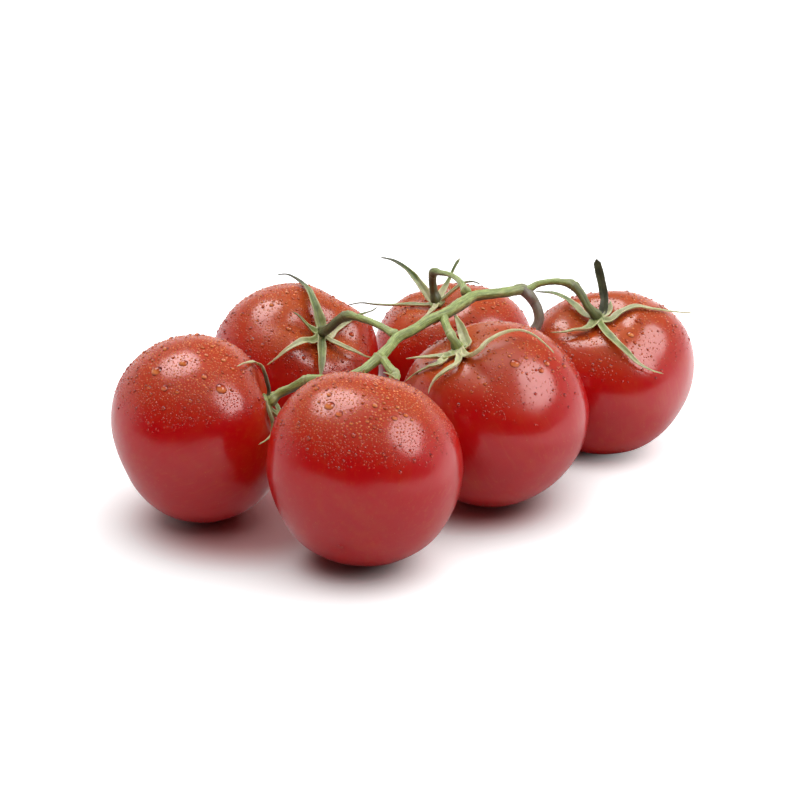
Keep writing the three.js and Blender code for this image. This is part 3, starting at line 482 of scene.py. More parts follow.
def skin_at(f, t, p):
    """Points of the skin at polar angle t and angle p around the axis, before the flat."""
    s, c = np.sin(t), np.cos(t)
    k = (np.abs(s) ** ROUNDNESS + np.abs(c) ** ROUNDNESS) ** (-1 / ROUNDNESS)
    shoulder = np.exp(-(((t - 0.72) / 0.5) ** 2))
    base = 0.45 * np.exp(-(((t - 2.55) / 0.45) ** 2))
    lobes = wave(f["lobes"], p)
    grow = 1 + (shoulder + base + 0.25 * s) * lobes + s * wave(f["waves"], p)
    rho = f["radius"] * s * k * grow
    z = f["half"] * c * k * (1 + 0.6 * shoulder * lobes)
    top = f["hollow"] * np.exp(-((rho / (0.33 * f["radius"] * (1 - lobes))) ** 2))
    z = np.where(c > 0, z - top, z + SCAR_DEPTH * np.exp(-((rho / (0.22 * f["radius"])) ** 2)))
    for p0, t0, deep, wide, long in f.get("clefts", ()):
        off = (p - math.radians(p0) + math.pi) % (2 * math.pi) - math.pi
        dent = deep * np.exp(-((off / math.radians(wide)) ** 2) - (((t - t0) / long) ** 2))
        rho, z = rho - dent * s, z - dent * c
    a, b1, b2 = fruit_axes(f)
    return (np.array(f["centre"]) + rho[..., None] * (b1 * np.cos(p)[..., None] + b2 * np.sin(p)[..., None])
            + z[..., None] * a)


RINGS, TURNS = 150, 264


def fruit_grid(f, seed):
    t = math.pi * (np.arange(1, RINGS) / RINGS) ** 1.12
    p = np.arange(TURNS) / TURNS * 2 * math.pi
    tt, pp = np.meshgrid(t, p, indexing="ij")
    body = skin_at(f, tt, pp).reshape(-1, 3)
    poles = skin_at(f, np.array([1e-4, math.pi - 1e-4]), np.array([0.0, 0.0]))
    points = np.concatenate([body, poles])
    tt = np.concatenate([tt.ravel(), [0.0, math.pi]])
    pp = np.concatenate([pp.ravel(), [0.0, 0.0]])
    i = np.arange((RINGS - 2) * TURNS)
    right = i - i % TURNS + (i + 1) % TURNS
    quads = np.stack([i, i + TURNS, right + TURNS, right], 1)
    last = (RINGS - 2) * TURNS
    j = np.arange(TURNS)
    k = (j + 1) % TURNS
    top, bottom = len(body), len(body) + 1
    tris = np.concatenate([np.stack([np.full(TURNS, top), j, k], 1), np.stack([last + k, last + j, np.full(TURNS, bottom)], 1)])
    n = normals_of(points, quads, tris)
    points = points + n * (0.10 * waves_in(40 + seed, 14, 9.0, 30.0)(points) - 0.05)[:, None]
    points[:, 2] = np.maximum(points[:, 2], 0.0)
    return points, quads, tris, tt, pp, normals_of(points, quads, tris)


def skin_values(f, points, tt, pp, n):
    fade = np.clip(np.sin(tt), 0, 1)
    skin = np.stack([tt / math.pi, np.cos(pp) * fade, np.sin(pp) * fade], 1)
    # painted light and shade: upper marks skin that faces up, under marks skin that faces down
    upper = smoothstep(0.30, 0.95, n[:, 2])
    under = smoothstep(0.25, -0.45, n[:, 2])
    shoulder = np.exp(-((tt / 0.62) ** 2))
    wobble = waves_in(7, 10, 0.8, 2.0)(points) * 0.25
    scar = smoothstep(1.0, 0.5, np.sin(np.clip(math.pi - tt, 0, 1.5)) * f["radius"] * (1 + wobble)) * (tt > 2)
    dull = np.zeros(len(upper))
    for p0, t0, wide, long in f.get("dull", ()):
        turn = np.angle(np.exp(1j * (pp - math.radians(p0)))) / math.radians(wide)
        dull = np.maximum(dull, np.exp(-turn ** 2 - ((tt - t0) / long) ** 2))
    return dict(skin=skin, upper=upper, under=under, shoulder=shoulder, scar=scar, dull=dull)


SHAPES = []
for index, f in enumerate(FRUITS):
    points, quads, tris, tt, pp, n = fruit_grid(f, index)
    name = "tomato_%d" % (index + 1)
    me = mesh_of(name + "_skin", points, quads, tris, **skin_values(f, points, tt, pp, n))
    piece_of(me, SKIN, [name])
    SHAPES.append((points, quads, n))

# ---------------------------------------------------------------- water drops


LIT = unit((0.39, 0.44, 1.65))  # the way the light comes from


def drops_on(index, beads, fine):
    """Water on one fruit: beads are (picture x, y, radius in mm); fine is the number of small drops."""
    points, quads, n = SHAPES[index]
    r = np.random.RandomState(500 + index)
    where, up, size = [], [], []
    u, v = seen_at(points)
    towards = ((np.array([0.0, -649.03, 292.23]) - points) * n).sum(1)
    for x, y, radius in beads:
        far = (u - x) ** 2 + (v - y) ** 2 + np.where(towards > 0, 0, 1e6)
        k = int(far.argmin())
        where.append(points[k]), up.append(n[k]), size.append(radius)
    a, b, c, d = (points[quads[:, k]] for k in range(4))
    area = np.linalg.norm(np.cross(c - a, d - b), axis=1)
    flat = n[quads].mean(1)
    patch = waves_in(90 + index, 16, 7.0, 26.0)(a)
    want = area * smoothstep(0.30, 0.62, flat[:, 2]) * (0.5 + 0.8 * smoothstep(-0.5, 0.7, patch))
    pick = r.choice(len(quads), size=fine * 4, p=want / want.sum())
    s, t = r.rand(2, len(pick), 1)
    spot = (a[pick] * (1 - s) + b[pick] * s) * (1 - t) + (d[pick] * (1 - s) + c[pick] * s) * t
    # many fine drops, fewer middling ones
    radii = 0.17 + 0.20 * r.rand(len(pick)) * (1 + 0.6 * smoothstep(0.5, 0.95, flat[pick, 2])) + 0.45 * r.rand(len(pick)) ** 9
    grid, cell = {}, 1.0
    def near(q):
        i = tuple(int(x // cell) for x in q)
        for dx in (-1, 0, 1):
            for dy in (-1, 0, 1):
                for dz in (-1, 0, 1):
                    yield from grid.get((i[0] + dx, i[1] + dy, i[2] + dz), ())
    big = [(w, s0) for w, s0 in zip(where, size)]
    kept = 0
    for q, m, radius in zip(spot, flat[pick], radii):
        if kept >= fine:
            break
        if any(((q - w) ** 2).sum() < (s0 + radius + 0.2) ** 2 for w, s0 in big):
            continue
        if any(((q - w) ** 2).sum() < (r0 + radius + 0.08) ** 2 for w, r0 in near(q)):
            continue
        grid.setdefault(tuple(int(x // cell) for x in q), []).append((q, radius))
        where.append(q), up.append(m), size.append(radius)
        kept += 1
    verts, faces, ends, count = [], [], [], 0
    glow, dark, drop_painted_warmth = [], [], []
    power = 0.12 + 0.60 * r.rand(len(where)) ** 1.6
    power[:len(beads)] = 0.95
    for w, m, radius in zip(where, up, size):
        m = unit(m)
        side = unit(np.cross(m, (0.31, 0.95, 0.1)))
        other = np.cross(m, side)
        rings, turns = (9, 26) if radius > 1.0 else (6, 16) if radius > 0.5 else (3, 8)
        wet = math.radians(60 if radius > 1.2 else 66 + 10 * r.rand() if radius > 0.5 else 46 + 10 * r.rand())
        angle = wet * np.linspace(0, 1, rings + 1)[1:]
        around = np.arange(turns) / turns * 2 * math.pi
        uneven = 1 + 0.10 * r.rand() * np.cos(2 * (around - 6.28 * r.rand())) + 0.06 * r.rand() * np.cos(3 * (around - 6.28 * r.rand()))
        reach = radius * (np.sin(angle) / math.sin(wet))[:, None] * uneven
        rise = radius * ((np.cos(angle) - math.cos(wet)) / math.sin(wet))[:, None] + 0 * reach
        rise = rise - reach ** 2 / 62.0
        fall = np.array([0.0, 0.0, -1.0])
        fall = fall - m * (fall @ m)
        x, y = reach * np.cos(around), reach * np.sin(around)
        body = w + x[..., None] * side + y[..., None] * other + rise[..., None] * m + (0.16 * rise)[..., None] * fall
        sunk = body[-1] - m * (0.05 + 0.06 * radius)
        apex = w + m * radius * (1 - math.cos(wet)) / math.sin(wet) + 0.16 * radius * (1 - math.cos(wet)) / math.sin(wet) * fall
        foot = w - m * (0.05 + 0.06 * radius + radius ** 2 / 62.0)
        verts += [body.reshape(-1, 3), sunk, apex[None], foot[None]]
        lit = LIT - m * (LIT @ m)
        lit = lit / max(np.linalg.norm(lit), 0.2)
        q = np.concatenate([(x * (lit @ side) + y * (lit @ other)).ravel() / radius, np.zeros(turns + 2)])
        rho = np.concatenate([np.hypot(x, y).ravel() / radius, np.ones(turns), [0.0, 1.0]])
        # painted light on each drop: a bright spot of gathered light on its side away from the light and painted shade
        # on its side towards it, round the rim too on larger drops; small drops that face up get more of the bright
        # spot and less shade
        if radius > 0.5:
            gleam = np.exp(-(((q + 0.48) / 0.40) ** 2)) * (1 - 0.8 * rho ** 6)
            shade = np.clip(smoothstep(0.0, 0.95, q) + 0.75 * smoothstep(0.76, 1.0, rho), 0, 1) * (1 - gleam)
        else:
            lift = smoothstep(0.45, 0.9, m[2])
            gleam = smoothstep(0.5, -0.5, q) * (1 + 0.7 * lift)
            shade = (0.45 - 0.2 * lift) * smoothstep(0.1, 0.95, q) * np.clip(1 - gleam, 0, 1)
        glow.append(gleam * power[len(glow)]), dark.append(shade)
        # painted light: each drop carries how far up it faces, for the same warmth as the skin
        drop_painted_warmth.append(np.full(len(q), smoothstep(0.30, 0.95, m[2])))
        i = np.arange(rings * turns)
        right = i - i % turns + (i + 1) % turns
        faces.append(count + np.stack([i, i + turns, right + turns, right], 1))
        j = np.arange(turns)
        k = (j + 1) % turns
        top, bottom, last = (rings + 1) * turns, (rings + 1) * turns + 1, rings * turns
        ends.append(count + np.stack([np.full(turns, top), j, k], 1))
        ends.append(count + np.stack([np.full(turns, bottom), last + k, last + j], 1))
        count += bottom + 1
    name = "water_on_tomato_%d" % (index + 1)
    return piece_of(mesh_of(name, np.concatenate(verts), np.concatenate(faces), np.concatenate(ends),
                            glow=np.concatenate(glow), dark=np.concatenate(dark), upper=np.concatenate(drop_painted_warmth)), WATER)


BEADS = [
    [(156, 371, 1.9), (183, 363, 1.5), (221, 388, 1.9), (164, 388, 1.2), (165, 349, 1.0), (204, 376, 1.1), (224, 360, 1.0),
     (232, 369, 0.8), (171, 336, 0.9), (197, 335, 1.0), (206, 355, 0.8), (178, 392, 0.8), (212, 347, 0.8), (190, 400, 0.7),
     (243, 372, 0.9), (150, 388, 0.7), (229, 345, 0.8), (199, 352, 0.7)],
    [(330, 405, 1.7), (329, 395, 1.0), (339, 414, 1.2), (376, 405, 1.0), (394, 418, 1.0), (406, 416, 0.9), (348, 452, 0.7),
     (367, 421, 0.7), (388, 398, 0.7), (352, 424, 0.7), (398, 407, 0.8), (412, 420, 0.7), (320, 402, 0.7), (360, 438, 0.6)],
    [(289, 329, 1.1), (272, 305, 1.0), (287, 293, 0.9), (242, 314, 0.8), (304, 357, 0.9), (258, 320, 0.7), (333, 297, 0.8),
     (352, 334, 1.0), (262, 302, 0.8), (252, 339, 0.8), (296, 292, 0.7), (276, 352, 0.7), (340, 302, 0.7), (262, 345, 0.8)],
    [(483, 309, 0.8), (497, 311, 0.7), (470, 312, 0.7), (404, 314, 0.7), (418, 322, 0.6), (505, 303, 0.7)],
    [(515, 364, 1.7), (541, 370, 1.1), (547, 364, 1.2), (564, 366, 0.9), (526, 357, 0.8), (509, 356, 0.7), (553, 371, 0.6),
     (479, 378, 0.7), (535, 360, 0.6), (500, 366, 0.7), (471, 392, 0.6), (522, 372, 0.5)],
    [(631, 335, 1.4), (600, 360, 0.8), (610, 366, 0.7), (640, 345, 0.6), (571, 330, 0.8), (565, 342, 0.7), (668, 322, 0.6),
     (622, 358, 0.6), (643, 329, 0.6), (655, 372, 0.6)],
]
FINE = [3700, 3400, 2700, 1500, 1300, 1500]
for index in range(6):
    drops_on(index, BEADS[index], FINE[index])

# ---------------------------------------------------------------- green parts


def curve_of(line, step):
    """Points of a smooth curve through line, about step apart: place, share along the control points, and length."""
    q = np.asarray(line, float)
    q = np.concatenate([[2 * q[0] - q[1]], q, [2 * q[-1] - q[-2]]])
    gap = np.maximum((((q[1:] - q[:-1]) ** 2).sum(1)) ** 0.25, 1e-4)
    made, share = [], []
    spans = len(q) - 3
    for i in range(spans):
        p0, p1, p2, p3 = q[i:i + 4]
        g0, g1, g2 = gap[i:i + 3]
        t1 = ((p1 - p0) / g0 - (p2 - p0) / (g0 + g1) + (p2 - p1) / g1) * g1
        t2 = ((p2 - p1) / g1 - (p3 - p1) / (g1 + g2) + (p3 - p2) / g2) * g1
        x = (np.arange(40) / 40)[:, None]
        made.append(p1 + t1 * x + (-3 * p1 + 3 * p2 - 2 * t1 - t2) * x ** 2 + (2 * p1 - 2 * p2 + t1 + t2) * x ** 3)
        share.append((i + x[:, 0]) / spans)
    made = np.concatenate(made + [q[-2][None]])
    share = np.concatenate(share + [[1.0]])
    run = np.concatenate([[0], np.cumsum(np.linalg.norm(np.diff(made, axis=0), axis=1))])
    at = np.linspace(0, run[-1], max(6, int(run[-1] / step)) + 1)
    place = np.stack([np.interp(at, run, made[:, k]) for k in range(3)], 1)
    return place, np.interp(at, run, share), at


def carried(place, up):
    """Tangents, and the across and rise directions carried along without twist."""
    along = unit(np.gradient(place, axis=0))
    up = np.asarray(up, float)
    rise, across = [], []
    for t in along:
        up = unit(up - t * (up @ t))
        rise.append(up)
        across.append(np.cross(t, up))
    return along, np.array(across), np.array(rise)


def eased(radii, share):
    x = share * (len(radii) - 1)
    i = np.minimum(x.astype(int), len(radii) - 2)
    e = x - i
    return radii[i] + (radii[i + 1] - radii[i]) * e * e * (3 - 2 * e)


def closed_tube(rings):
    """Quads and end fans for rings of points (stations, sides, 3), with a middle point added at both ends."""
    stations, sides = rings.shape[:2]
    points = np.concatenate([rings.reshape(-1, 3), rings[0].mean(0)[None], rings[-1].mean(0)[None]])
    i = np.arange((stations - 1) * sides)
    right = i - i % sides + (i + 1) % sides
    quads = np.stack([i, right, right + sides, i + sides], 1)
    j = np.arange(sides)
    k = (j + 1) % sides
    a, b, last = stations * sides, stations * sides + 1, (stations - 1) * sides
    tris = np.concatenate([np.stack([np.full(sides, a), k, j], 1), np.stack([np.full(sides, b), last + j, last + k], 1)])
    return points, quads, tris


SLIM = 0.98


def stem(name, line, node, seed, knuckle=None, flare=0.0, hub=False, aged=None, cut=False, sides=30, dusky=0.0):
    """One stem: line is (x, y, z, radius). knuckle is the index of the swollen joint's point."""
    line = np.asarray(line, float)
    place, share, at = curve_of(line[:, :3], 0.28)
    along, across, rise = carried(place, (0.2, -0.3, 0.9))
    radius = SLIM * eased(line[:, 3], share)
    joint = np.zeros_like(at)
    if knuckle is not None:
        here = np.interp(knuckle / (len(line) - 1), share, at)
        d = at - here
        radius = radius * (1 + 0.13 * np.exp(-((d / 1.5) ** 2)) - 0.20 * np.exp(-((d / 0.42) ** 2)))
        joint = np.exp(-((d / 1.6) ** 2))
    if flare:
        radius = radius * (1 + flare * np.exp(-at / 1.7))
    if hub:
        left = at[-1] - at
        radius = radius * (1 + 0.16 * np.exp(-(((left - 0.9) / 1.3) ** 2)))
    around = np.arange(sides) / sides * 2 * math.pi
    r = np.random.RandomState(900 + seed)
    ridge = sum(
        a * np.cos(k * around[None] + turn + drift * at[:, None] / 9.0)
        for k, a, turn, drift in [(3, 0.045, r.rand() * 6, 0.6), (5, 0.035, r.rand() * 6, -0.5), (8, 0.018, r.rand() * 6, 0.3)]
    )
    ring = place[:, None] + radius[:, None, None] * (
        across[:, None] * np.cos(around)[None, :, None] + rise[:, None] * np.sin(around)[None, :, None])
    out = unit(ring - place[:, None])
    lumps = 0.045 * waves_in(60 + seed, 18, 1.6, 7.0)(ring) + 0.02 * waves_in(80 + seed, 18, 0.7, 1.6)(ring)
    grow = radius[:, None] * ridge + lumps * np.minimum(radius[:, None], 2.0) * 0.8
    grow = grow + joint[:, None] * 0.10 * waves_in(70 + seed, 16, 1.0, 2.6)(ring)
    ring = ring + out * grow[..., None]
    values = dict(
        grain=np.stack(np.broadcast_arrays(at[:, None] + 0 * around, radius.mean() * np.cos(around)[None] + 0 * at[:, None],
                                           radius.mean() * np.sin(around)[None] + 0 * at[:, None]), -1).reshape(-1, 3),
        aged=(np.zeros_like(at) if aged is None else aged(at, share))[:, None] + 0 * around,
        pale=(0.7 * joint + flare * np.exp(-at / 2.2))[:, None] + 0 * around,
        pith=np.zeros((len(at), sides)),
        # painted shade on the stem's underside
        under=smoothstep(0.12, -0.72, out[..., 2]),
        # painted shade towards the fruit end of some stalks
        dusky=(dusky * smoothstep(0.35, 0.75, share))[:, None] + 0 * around,
    )
    # round the ends over, or cut one square with its paler pith
    caps = []
    def cap(k, way, square):
        extra = []
        for shrink, push in ([(0.96, 0.0), (0.90, 0.06), (0.5, 0.02)] if square else [(0.86, 0.28), (0.6, 0.48), (0.3, 0.58)]):
            extra.append(place[k] + (ring[k] - place[k]) * shrink + way * push * radius[k])
        return extra
    first, last = cap(0, -along[0], cut), cap(-1, along[-1], False)
    rings = np.concatenate([np.array(first[::-1]), ring, np.array(last)])
    points, quads, tris = closed_tube(rings)
    quads, tris = quads[:, ::-1], tris[:, ::-1]  # faces look outwards
    full = {}
    for key, value in values.items():
        value = np.asarray(value, float).reshape(len(at), sides, -1)
        value = np.concatenate([value[:1]] * 3 + [value] + [value[-1:]] * 3)
        if key == "pith" and cut:
            value[:2] = 1.0
            value[2] = 0.35
        value = value.reshape(len(rings) * sides, -1)
        value = np.concatenate([value, value[:1] * 0 + value[0], value[-1:]])
        full[key] = value if value.shape[1] > 1 else value[:, 0]
    return piece_of(mesh_of(name, points, quads, tris, **full), STEM, [node])


stem("main_stem_vine", MAIN_STEM, "main_stem", 0, cut=True, sides=36,
     aged=lambda at, share: smoothstep(7.4 / 16, 5.2 / 16, share))
KNUCKLE = [5, 3, 4, 5, 2, 5]
# how much painted shade darkens each stalk towards its fruit
DUSKY = [0.15, 0.1, 0.95, 0.95, 0.1, 0.75]
for index, line in enumerate(STALKS):
    stem("fruit_stalk_%d_vine" % (index + 1), line, "fruit_stalk_%d" % (index + 1), index + 1,
         knuckle=KNUCKLE[index], flare=0.55, hub=True, sides=26, dusky=DUSKY[index])

# ---------------------------------------------------------------- calyxes


def sepal(width, tip, from_share, tone, midrib, axis, seed):
    """One sepal as a closed strip: points, quads, tris, and across, along, side for each point."""
    place, share, at = curve_of(midrib, 0.30)
    along, over, rise = carried(place, axis)
    r = np.random.RandomState(seed)
    s = share
    neck = 0.86 + 0.14 * smoothstep(0.0, 0.3, s)
    taper = 1 - smoothstep(from_share - 0.25, 1.06, s)
    half = np.maximum(0.56 * width * neck * taper, 0.75 * tip)
    half = half * (1 + 0.05 * np.sin(at / 2.3 + r.rand() * 6) + 0.03 * np.sin(at / 1.1 + r.rand() * 6))
    end = smoothstep(0.0, 1.6, at[-1] - at) * 0.75 + 0.25
    half = half * end
    thick = 0.5 * SEPAL_THICKNESS * (0.50 + 0.35 * (1 - s)) * (0.5 + 0.5 * end)
    cols = 13
    x = np.sin(np.linspace(-math.pi / 2, math.pi / 2, cols))
    turn = r.rand(4) * 6
    fold = (0.34 * (1 - s) + 0.16)[:, None] * np.abs(x) ** 1.25 * half[:, None]
    roll = 0.14 * half[:, None] * x ** 4 * (0.5 + 0.5 * np.sin(at / 4.2 + turn[0]))[:, None]
    ripple = 0.11 * half[:, None] * x ** 2 * (
        np.sin(at[:, None] / 1.9 + turn[1] + 0.9 * np.sign(x)) + 0.5 * np.sin(at[:, None] / 1.0 + turn[2] - np.sign(x)))
    ripple = ripple * np.sin(math.pi * np.clip(s, 0, 1))[:, None]
    lean = 0.12 * np.sin(at / 5.5 + turn[3])[:, None] * x * half[:, None]
    mid = fold + roll + ripple + lean
    edge = np.sqrt(np.maximum(1 - x ** 4, 0.0)) * 0.82 + 0.18
    groove = -0.16 * np.exp(-((x * half[:, None] / 0.32) ** 2)) * (1 - 0.6 * s)[:, None]
    rib = -0.34 * np.exp(-((x * half[:, None] / 0.42) ** 2)) * (1 - 0.75 * s)[:, None]
    upper = mid + thick[:, None] * edge + groove
    lower = mid - thick[:, None] * edge + rib
    cross = np.concatenate([x, x[::-1]])
    h = np.concatenate([upper, lower[:, ::-1]], 1)
    side = np.concatenate([np.zeros(cols), np.ones(cols)])
    rings = (place[:, None] + (half[:, None] * cross)[..., None] * over[:, None] + h[..., None] * rise[:, None])
    # reversed so that the faces look outwards
    rings, cross, side = rings[:, ::-1], cross[::-1], side[::-1]
    points, quads, tris = closed_tube(rings)
    one = np.ones((len(at), 1))
    hue = tone[0] + (tone[1] - tone[0]) * smoothstep(0.15, 0.85, s)
    leaf = np.stack([one * cross, s[:, None] + 0 * cross, one * side, hue[:, None] + 0 * cross], -1).reshape(-1, 4)
    leaf = np.concatenate([leaf, [[0, 0, 0, tone[0]]], [[0, 1, 0.5, tone[1]]]])
    return points, quads, tris, leaf


def blob(centre, axis, radius, height, seed, lobes=5):
    """A rounded knob."""
    a = unit(axis)
    b = unit(np.cross(a, (0.3, 0.9, 0.2)))
    c = np.cross(a, b)
    rows, turns = 14, 28
    t = np.linspace(0, math.pi, rows + 2)[1:-1]
    p = np.arange(turns) / turns * 2 * math.pi
    r = np.random.RandomState(seed)
    rho = radius * np.sin(t)[:, None] ** 0.8 * (1 + 0.08 * np.cos(lobes * p + r.rand() * 6))
    rings = (np.asarray(centre, float) + rho[..., None] * (np.cos(p)[None, :, None] * b + np.sin(p)[None, :, None] * c)
             + (height * np.cos(t))[:, None, None] * a)
    points, quads, tris = closed_tube(rings[:, ::-1])
    return points, quads, tris, np.tile([0.35, 0.0, 0.0, 0.1], (len(points), 1))


def outward(points, quads, tris):
    """Turns the faces round if the body is inside out."""
    f = np.concatenate([tris, quads[:, [0, 1, 2]], quads[:, [0, 2, 3]]])
    a, b, c = points[f[:, 0]], points[f[:, 1]], points[f[:, 2]]
    if np.einsum("ij,ij->i", a, np.cross(b, c)).sum() < 0:
        quads, tris = quads[:, ::-1], tris[:, ::-1]
    return quads, tris


def grown_together(name, parts, voxel, passes=5):
    """Closed bodies joined as one skin, with each point's leaf values from the nearest body point."""
    all_points, all_quads, all_tris, values, count = [], [], [], [], 0
    for points, quads, tris, leaf in parts:
        middle = points.mean(0)
        quads, tris = outward(points - middle, quads, tris)
        all_points.append(points), values.append(leaf)
        all_quads.append(quads + count), all_tris.append(tris + count)
        count += len(points)
    points, values = np.concatenate(all_points), np.concatenate(values)
    me = bpy.data.meshes.new("rough")
    me.from_pydata(points.tolist(), [], np.concatenate(all_quads).tolist() + np.concatenate(all_tris).tolist())
    ob = bpy.data.objects.new("rough", me)
    bpy.context.collection.objects.link(ob)
    m = ob.modifiers.new("join", "REMESH")
    m.mode, m.voxel_size, m.adaptivity = "VOXEL", voxel, 0.0
    done = ob.evaluated_get(bpy.context.evaluated_depsgraph_get()).to_mesh()
    at = np.zeros(len(done.vertices) * 3)
    done.vertices.foreach_get("co", at)
    at = at.reshape(-1, 3)
    quads = np.array([p.vertices[:] for p in done.polygons if len(p.vertices) == 4], int).reshape(-1, 4)
    tris = np.array([p.vertices[:] for p in done.polygons if len(p.vertices) == 3], int).reshape(-1, 3)
    ob.to_mesh_clear()
    bpy.data.objects.remove(ob)
    bpy.data.meshes.remove(me)
    # keep the largest body
    edges = np.concatenate([quads[:, [0, 1]], quads[:, [1, 2]], quads[:, [2, 3]], quads[:, [3, 0]]])
    if len(tris):
        edges = np.concatenate([edges, tris[:, [0, 1]], tris[:, [1, 2]], tris[:, [2, 0]]])
    label = np.arange(len(at))
    while True:
        low = label.copy()
        np.minimum.at(low, edges[:, 0], label[edges[:, 1]])
        np.minimum.at(low, edges[:, 1], label[edges[:, 0]])
        low = low[low]
        if (low == label).all():
            break
        label = low
    main = np.bincount(label).argmax()
    keep = label == main
    new = np.cumsum(keep) - 1
    quads = new[quads[keep[quads].all(1)]]
    tris = new[tris[keep[tris].all(1)]] if len(tris) else tris
    at = at[keep]
    edges = new[edges[keep[edges].all(1)]]
    degree = np.bincount(edges.ravel(), minlength=len(at))[:, None]
    for step in range(passes):
        for share in (0.55, -0.57):
            total = np.zeros_like(at)
            np.add.at(total, edges[:, 0], at[edges[:, 1]])
            np.add.at(total, edges[:, 1], at[edges[:, 0]])
            at = at + share * (total / np.maximum(degree, 1) - at)
    tree = KDTree(len(points))
    for i, q in enumerate(points):
        tree.insert(q, i)
    tree.balance()
    nearest = np.array([tree.find(q)[1] for q in at])
    return at, quads, tris, values[nearest], edges


def calyx(index):
    c = CALYXES[index]
    axis, hub = unit(c["axis"]), np.array(c["hub"])
    parts, dark = [], []
    for k, (width, tip, from_share, tone, midrib) in enumerate(c["sepals"]):
        parts.append(sepal(width, tip, from_share, tone, midrib, axis, 1000 + 20 * index + k))
    parts.append(blob(hub + axis * 0.1, axis, 3.1, 1.15, 1100 + index, len(c["sepals"])))
    at, quads, tris, leaf, edges = grown_together("calyx", parts, 0.19)
    name = "calyx_%d" % (index + 1)
    me = mesh_of(name + "_leaves", at, quads, tris, leaf=leaf[:, :3], tone=leaf[:, 3], shade=np.zeros(len(at)))
    return piece_of(me, LEAF, [name])


for index in range(6):
    calyx(index)

# ---------------------------------------------------------------- surface and light

floor = bpy.data.meshes.new("surface")
floor.from_pydata([(-6, -6, 0), (6, -6, 0), (6, 6, 0), (-6, 6, 0)], [], [(0, 1, 2, 3)])
ground = bpy.data.objects.new("surface", floor)
ground.location.z = -0.00002
bpy.context.collection.objects.link(ground)
g = Nodes("white_surface")
speck = g.noise(g.place(), 0.02, 2.0)
g.set(Specular_IOR_Level=0.05)
# each fruit's painted floor shadow: how far it is moved from the place where the fruit touches, and how wide it is
PAINTED_FLOOR_SHADOWS = [(16, -4, 46), (-4, -2, 21), (0, 0, 30), (0, 0, 26), (-6, -4, 32), (-8, 0, 17)]
reach = None
for (points, quads, n), (right, back, wide) in zip(SHAPES, PAINTED_FLOOR_SHADOWS):
    low = points[points[:, 2] < 0.5].mean(0)
    touch = (low[0] - MIDDLE[0] + right, low[1] - MIDDLE[1] + back, 0.0)
    apart = g.add("ShaderNodeVectorMath", operation="DISTANCE")
    g.give(apart.inputs[0], g.place())
    g.give(apart.inputs[1], touch)
    apart = g.math("DIVIDE", apart.outputs["Value"], float(wide))
    reach = apart if reach is None else g.math("SMOOTH_MIN", reach, apart, 0.35)
pale = g.mix(g.between(speck, 0.3, 0.7), (0.86, 0.86, 0.865), (0.88, 0.88, 0.88))
seen = g.add("ShaderNodeLightPath").outputs["Is Camera Ray"]
# the floor beside the fruits on the right glows for every ray, a painted light standing in for a reflecting card
aside = g.add("ShaderNodeSeparateXYZ")
g.give(aside.inputs[0], g.place())
floor_glow_right = g.between(aside.outputs["X"], 96.0, 155.0, 0.0, 0.5)
# painted shadow: near where the fruits touch, the floor seen by the camera is a reddish grey
painted_reddish_shadow = g.mix(g.between(reach, 0.45, 1.0), (0.56, 0.32, 0.32), pale)
g.set(Base_Color=g.mix(seen, pale, painted_reddish_shadow), Roughness=0.7)
# painted light: away from the fruits the floor seen by the camera glows white
g.set(Emission_Color=(1.0, 1.0, 1.0), Emission_Strength=g.math("ADD", g.math("MULTIPLY", seen, g.between(reach, 0.35, 1.9, 0.0, 0.6)), floor_glow_right))
floor.materials.append(g.material)


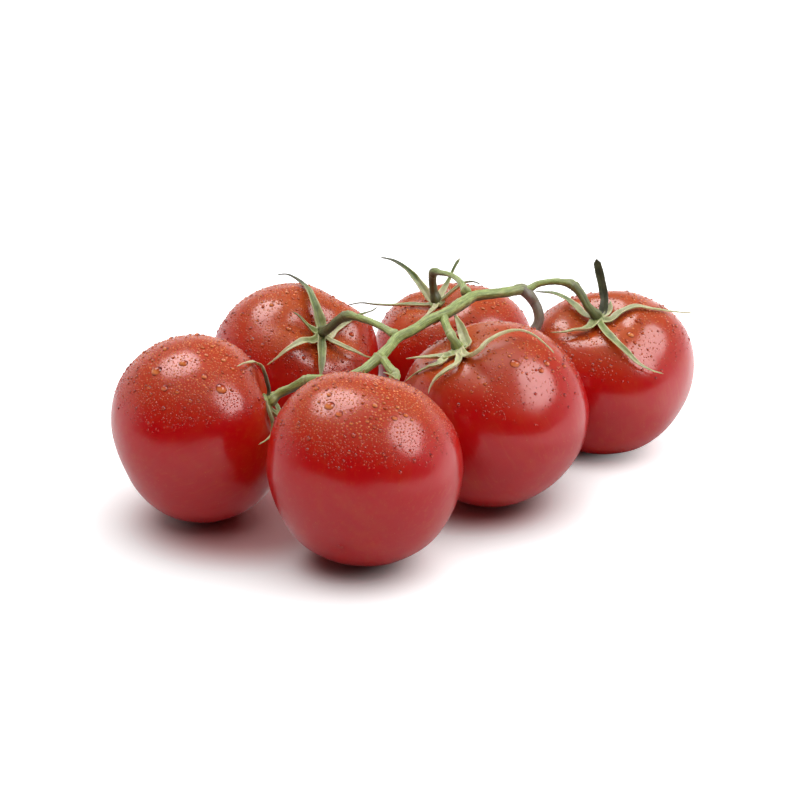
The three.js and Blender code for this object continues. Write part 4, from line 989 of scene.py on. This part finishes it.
def softbox(name, towards, strength, angle, colour=(1.0, 1.0, 1.0)):
    """A large soft light far away, in the direction towards."""
    lamp = bpy.data.lights.new(name, "SUN")
    lamp.energy, lamp.angle, lamp.color = strength, math.radians(angle), colour
    ob = bpy.data.objects.new(name, lamp)
    ob.rotation_mode = "QUATERNION"
    ob.rotation_quaternion = Vector(towards).to_track_quat("Z", "Y")
    bpy.context.collection.objects.link(ob)
    return ob


# two softboxes make the highlights, and a wide canopy overhead gives the even light
for ob in (softbox("softbox_left", (-0.26, 0.34, 0.90), 2.75, 38), softbox("softbox_right", (0.68, -0.19, 0.67), 3.0, 41)):
    ob.visible_diffuse = False
softbox("canopy", (0.14, 0.15, 1.0), 3.25, 95).visible_glossy = False

# the studio round it: a white backdrop low down behind and beside it, dim above and in front
world = bpy.data.worlds.new("studio")
bpy.context.scene.world = world
world.use_nodes = True
tree = world.node_tree
tree.nodes.clear()


def studio(kind, *values, **fields):
    node = tree.nodes.new(kind)
    for key, value in fields.items():
        setattr(node, key, value)
    for socket, value in zip(node.inputs, values):
        if isinstance(value, bpy.types.NodeSocket):
            tree.links.new(value, socket)
        else:
            socket.default_value = value
    return node


way = studio("ShaderNodeSeparateXYZ", studio("ShaderNodeTexCoord").outputs["Generated"]).outputs
low = studio("ShaderNodeMapRange", way[2], 0.12, 0.55, 1.0, 0.0, interpolation_type="SMOOTHSTEP").outputs[0]
behind = studio("ShaderNodeMapRange", way[1], -0.55, 0.25, 0.0, 1.0, interpolation_type="SMOOTHSTEP").outputs[0]
glare = studio("ShaderNodeMath", low, behind, operation="MULTIPLY").outputs[0]
dim = studio("ShaderNodeMapRange", way[1], -0.8, 0.5, 0.045, 0.17, interpolation_type="SMOOTHSTEP").outputs[0]
glare = studio("ShaderNodeMath", glare, 0.85, dim, operation="MULTIPLY_ADD").outputs[0]
seen = studio("ShaderNodeLightPath").outputs["Is Camera Ray"]
glare = studio("ShaderNodeMapRange", seen, 0.0, 1.0, glare, 1.15).outputs[0]
back = studio("ShaderNodeBackground", (1.0, 1.0, 1.0, 1.0), glare).outputs[0]
studio("ShaderNodeOutputWorld", back)

scene = bpy.context.scene
scene.view_settings.view_transform = "Standard"
scene.view_settings.look = "None"
scene.view_settings.exposure = 0.0
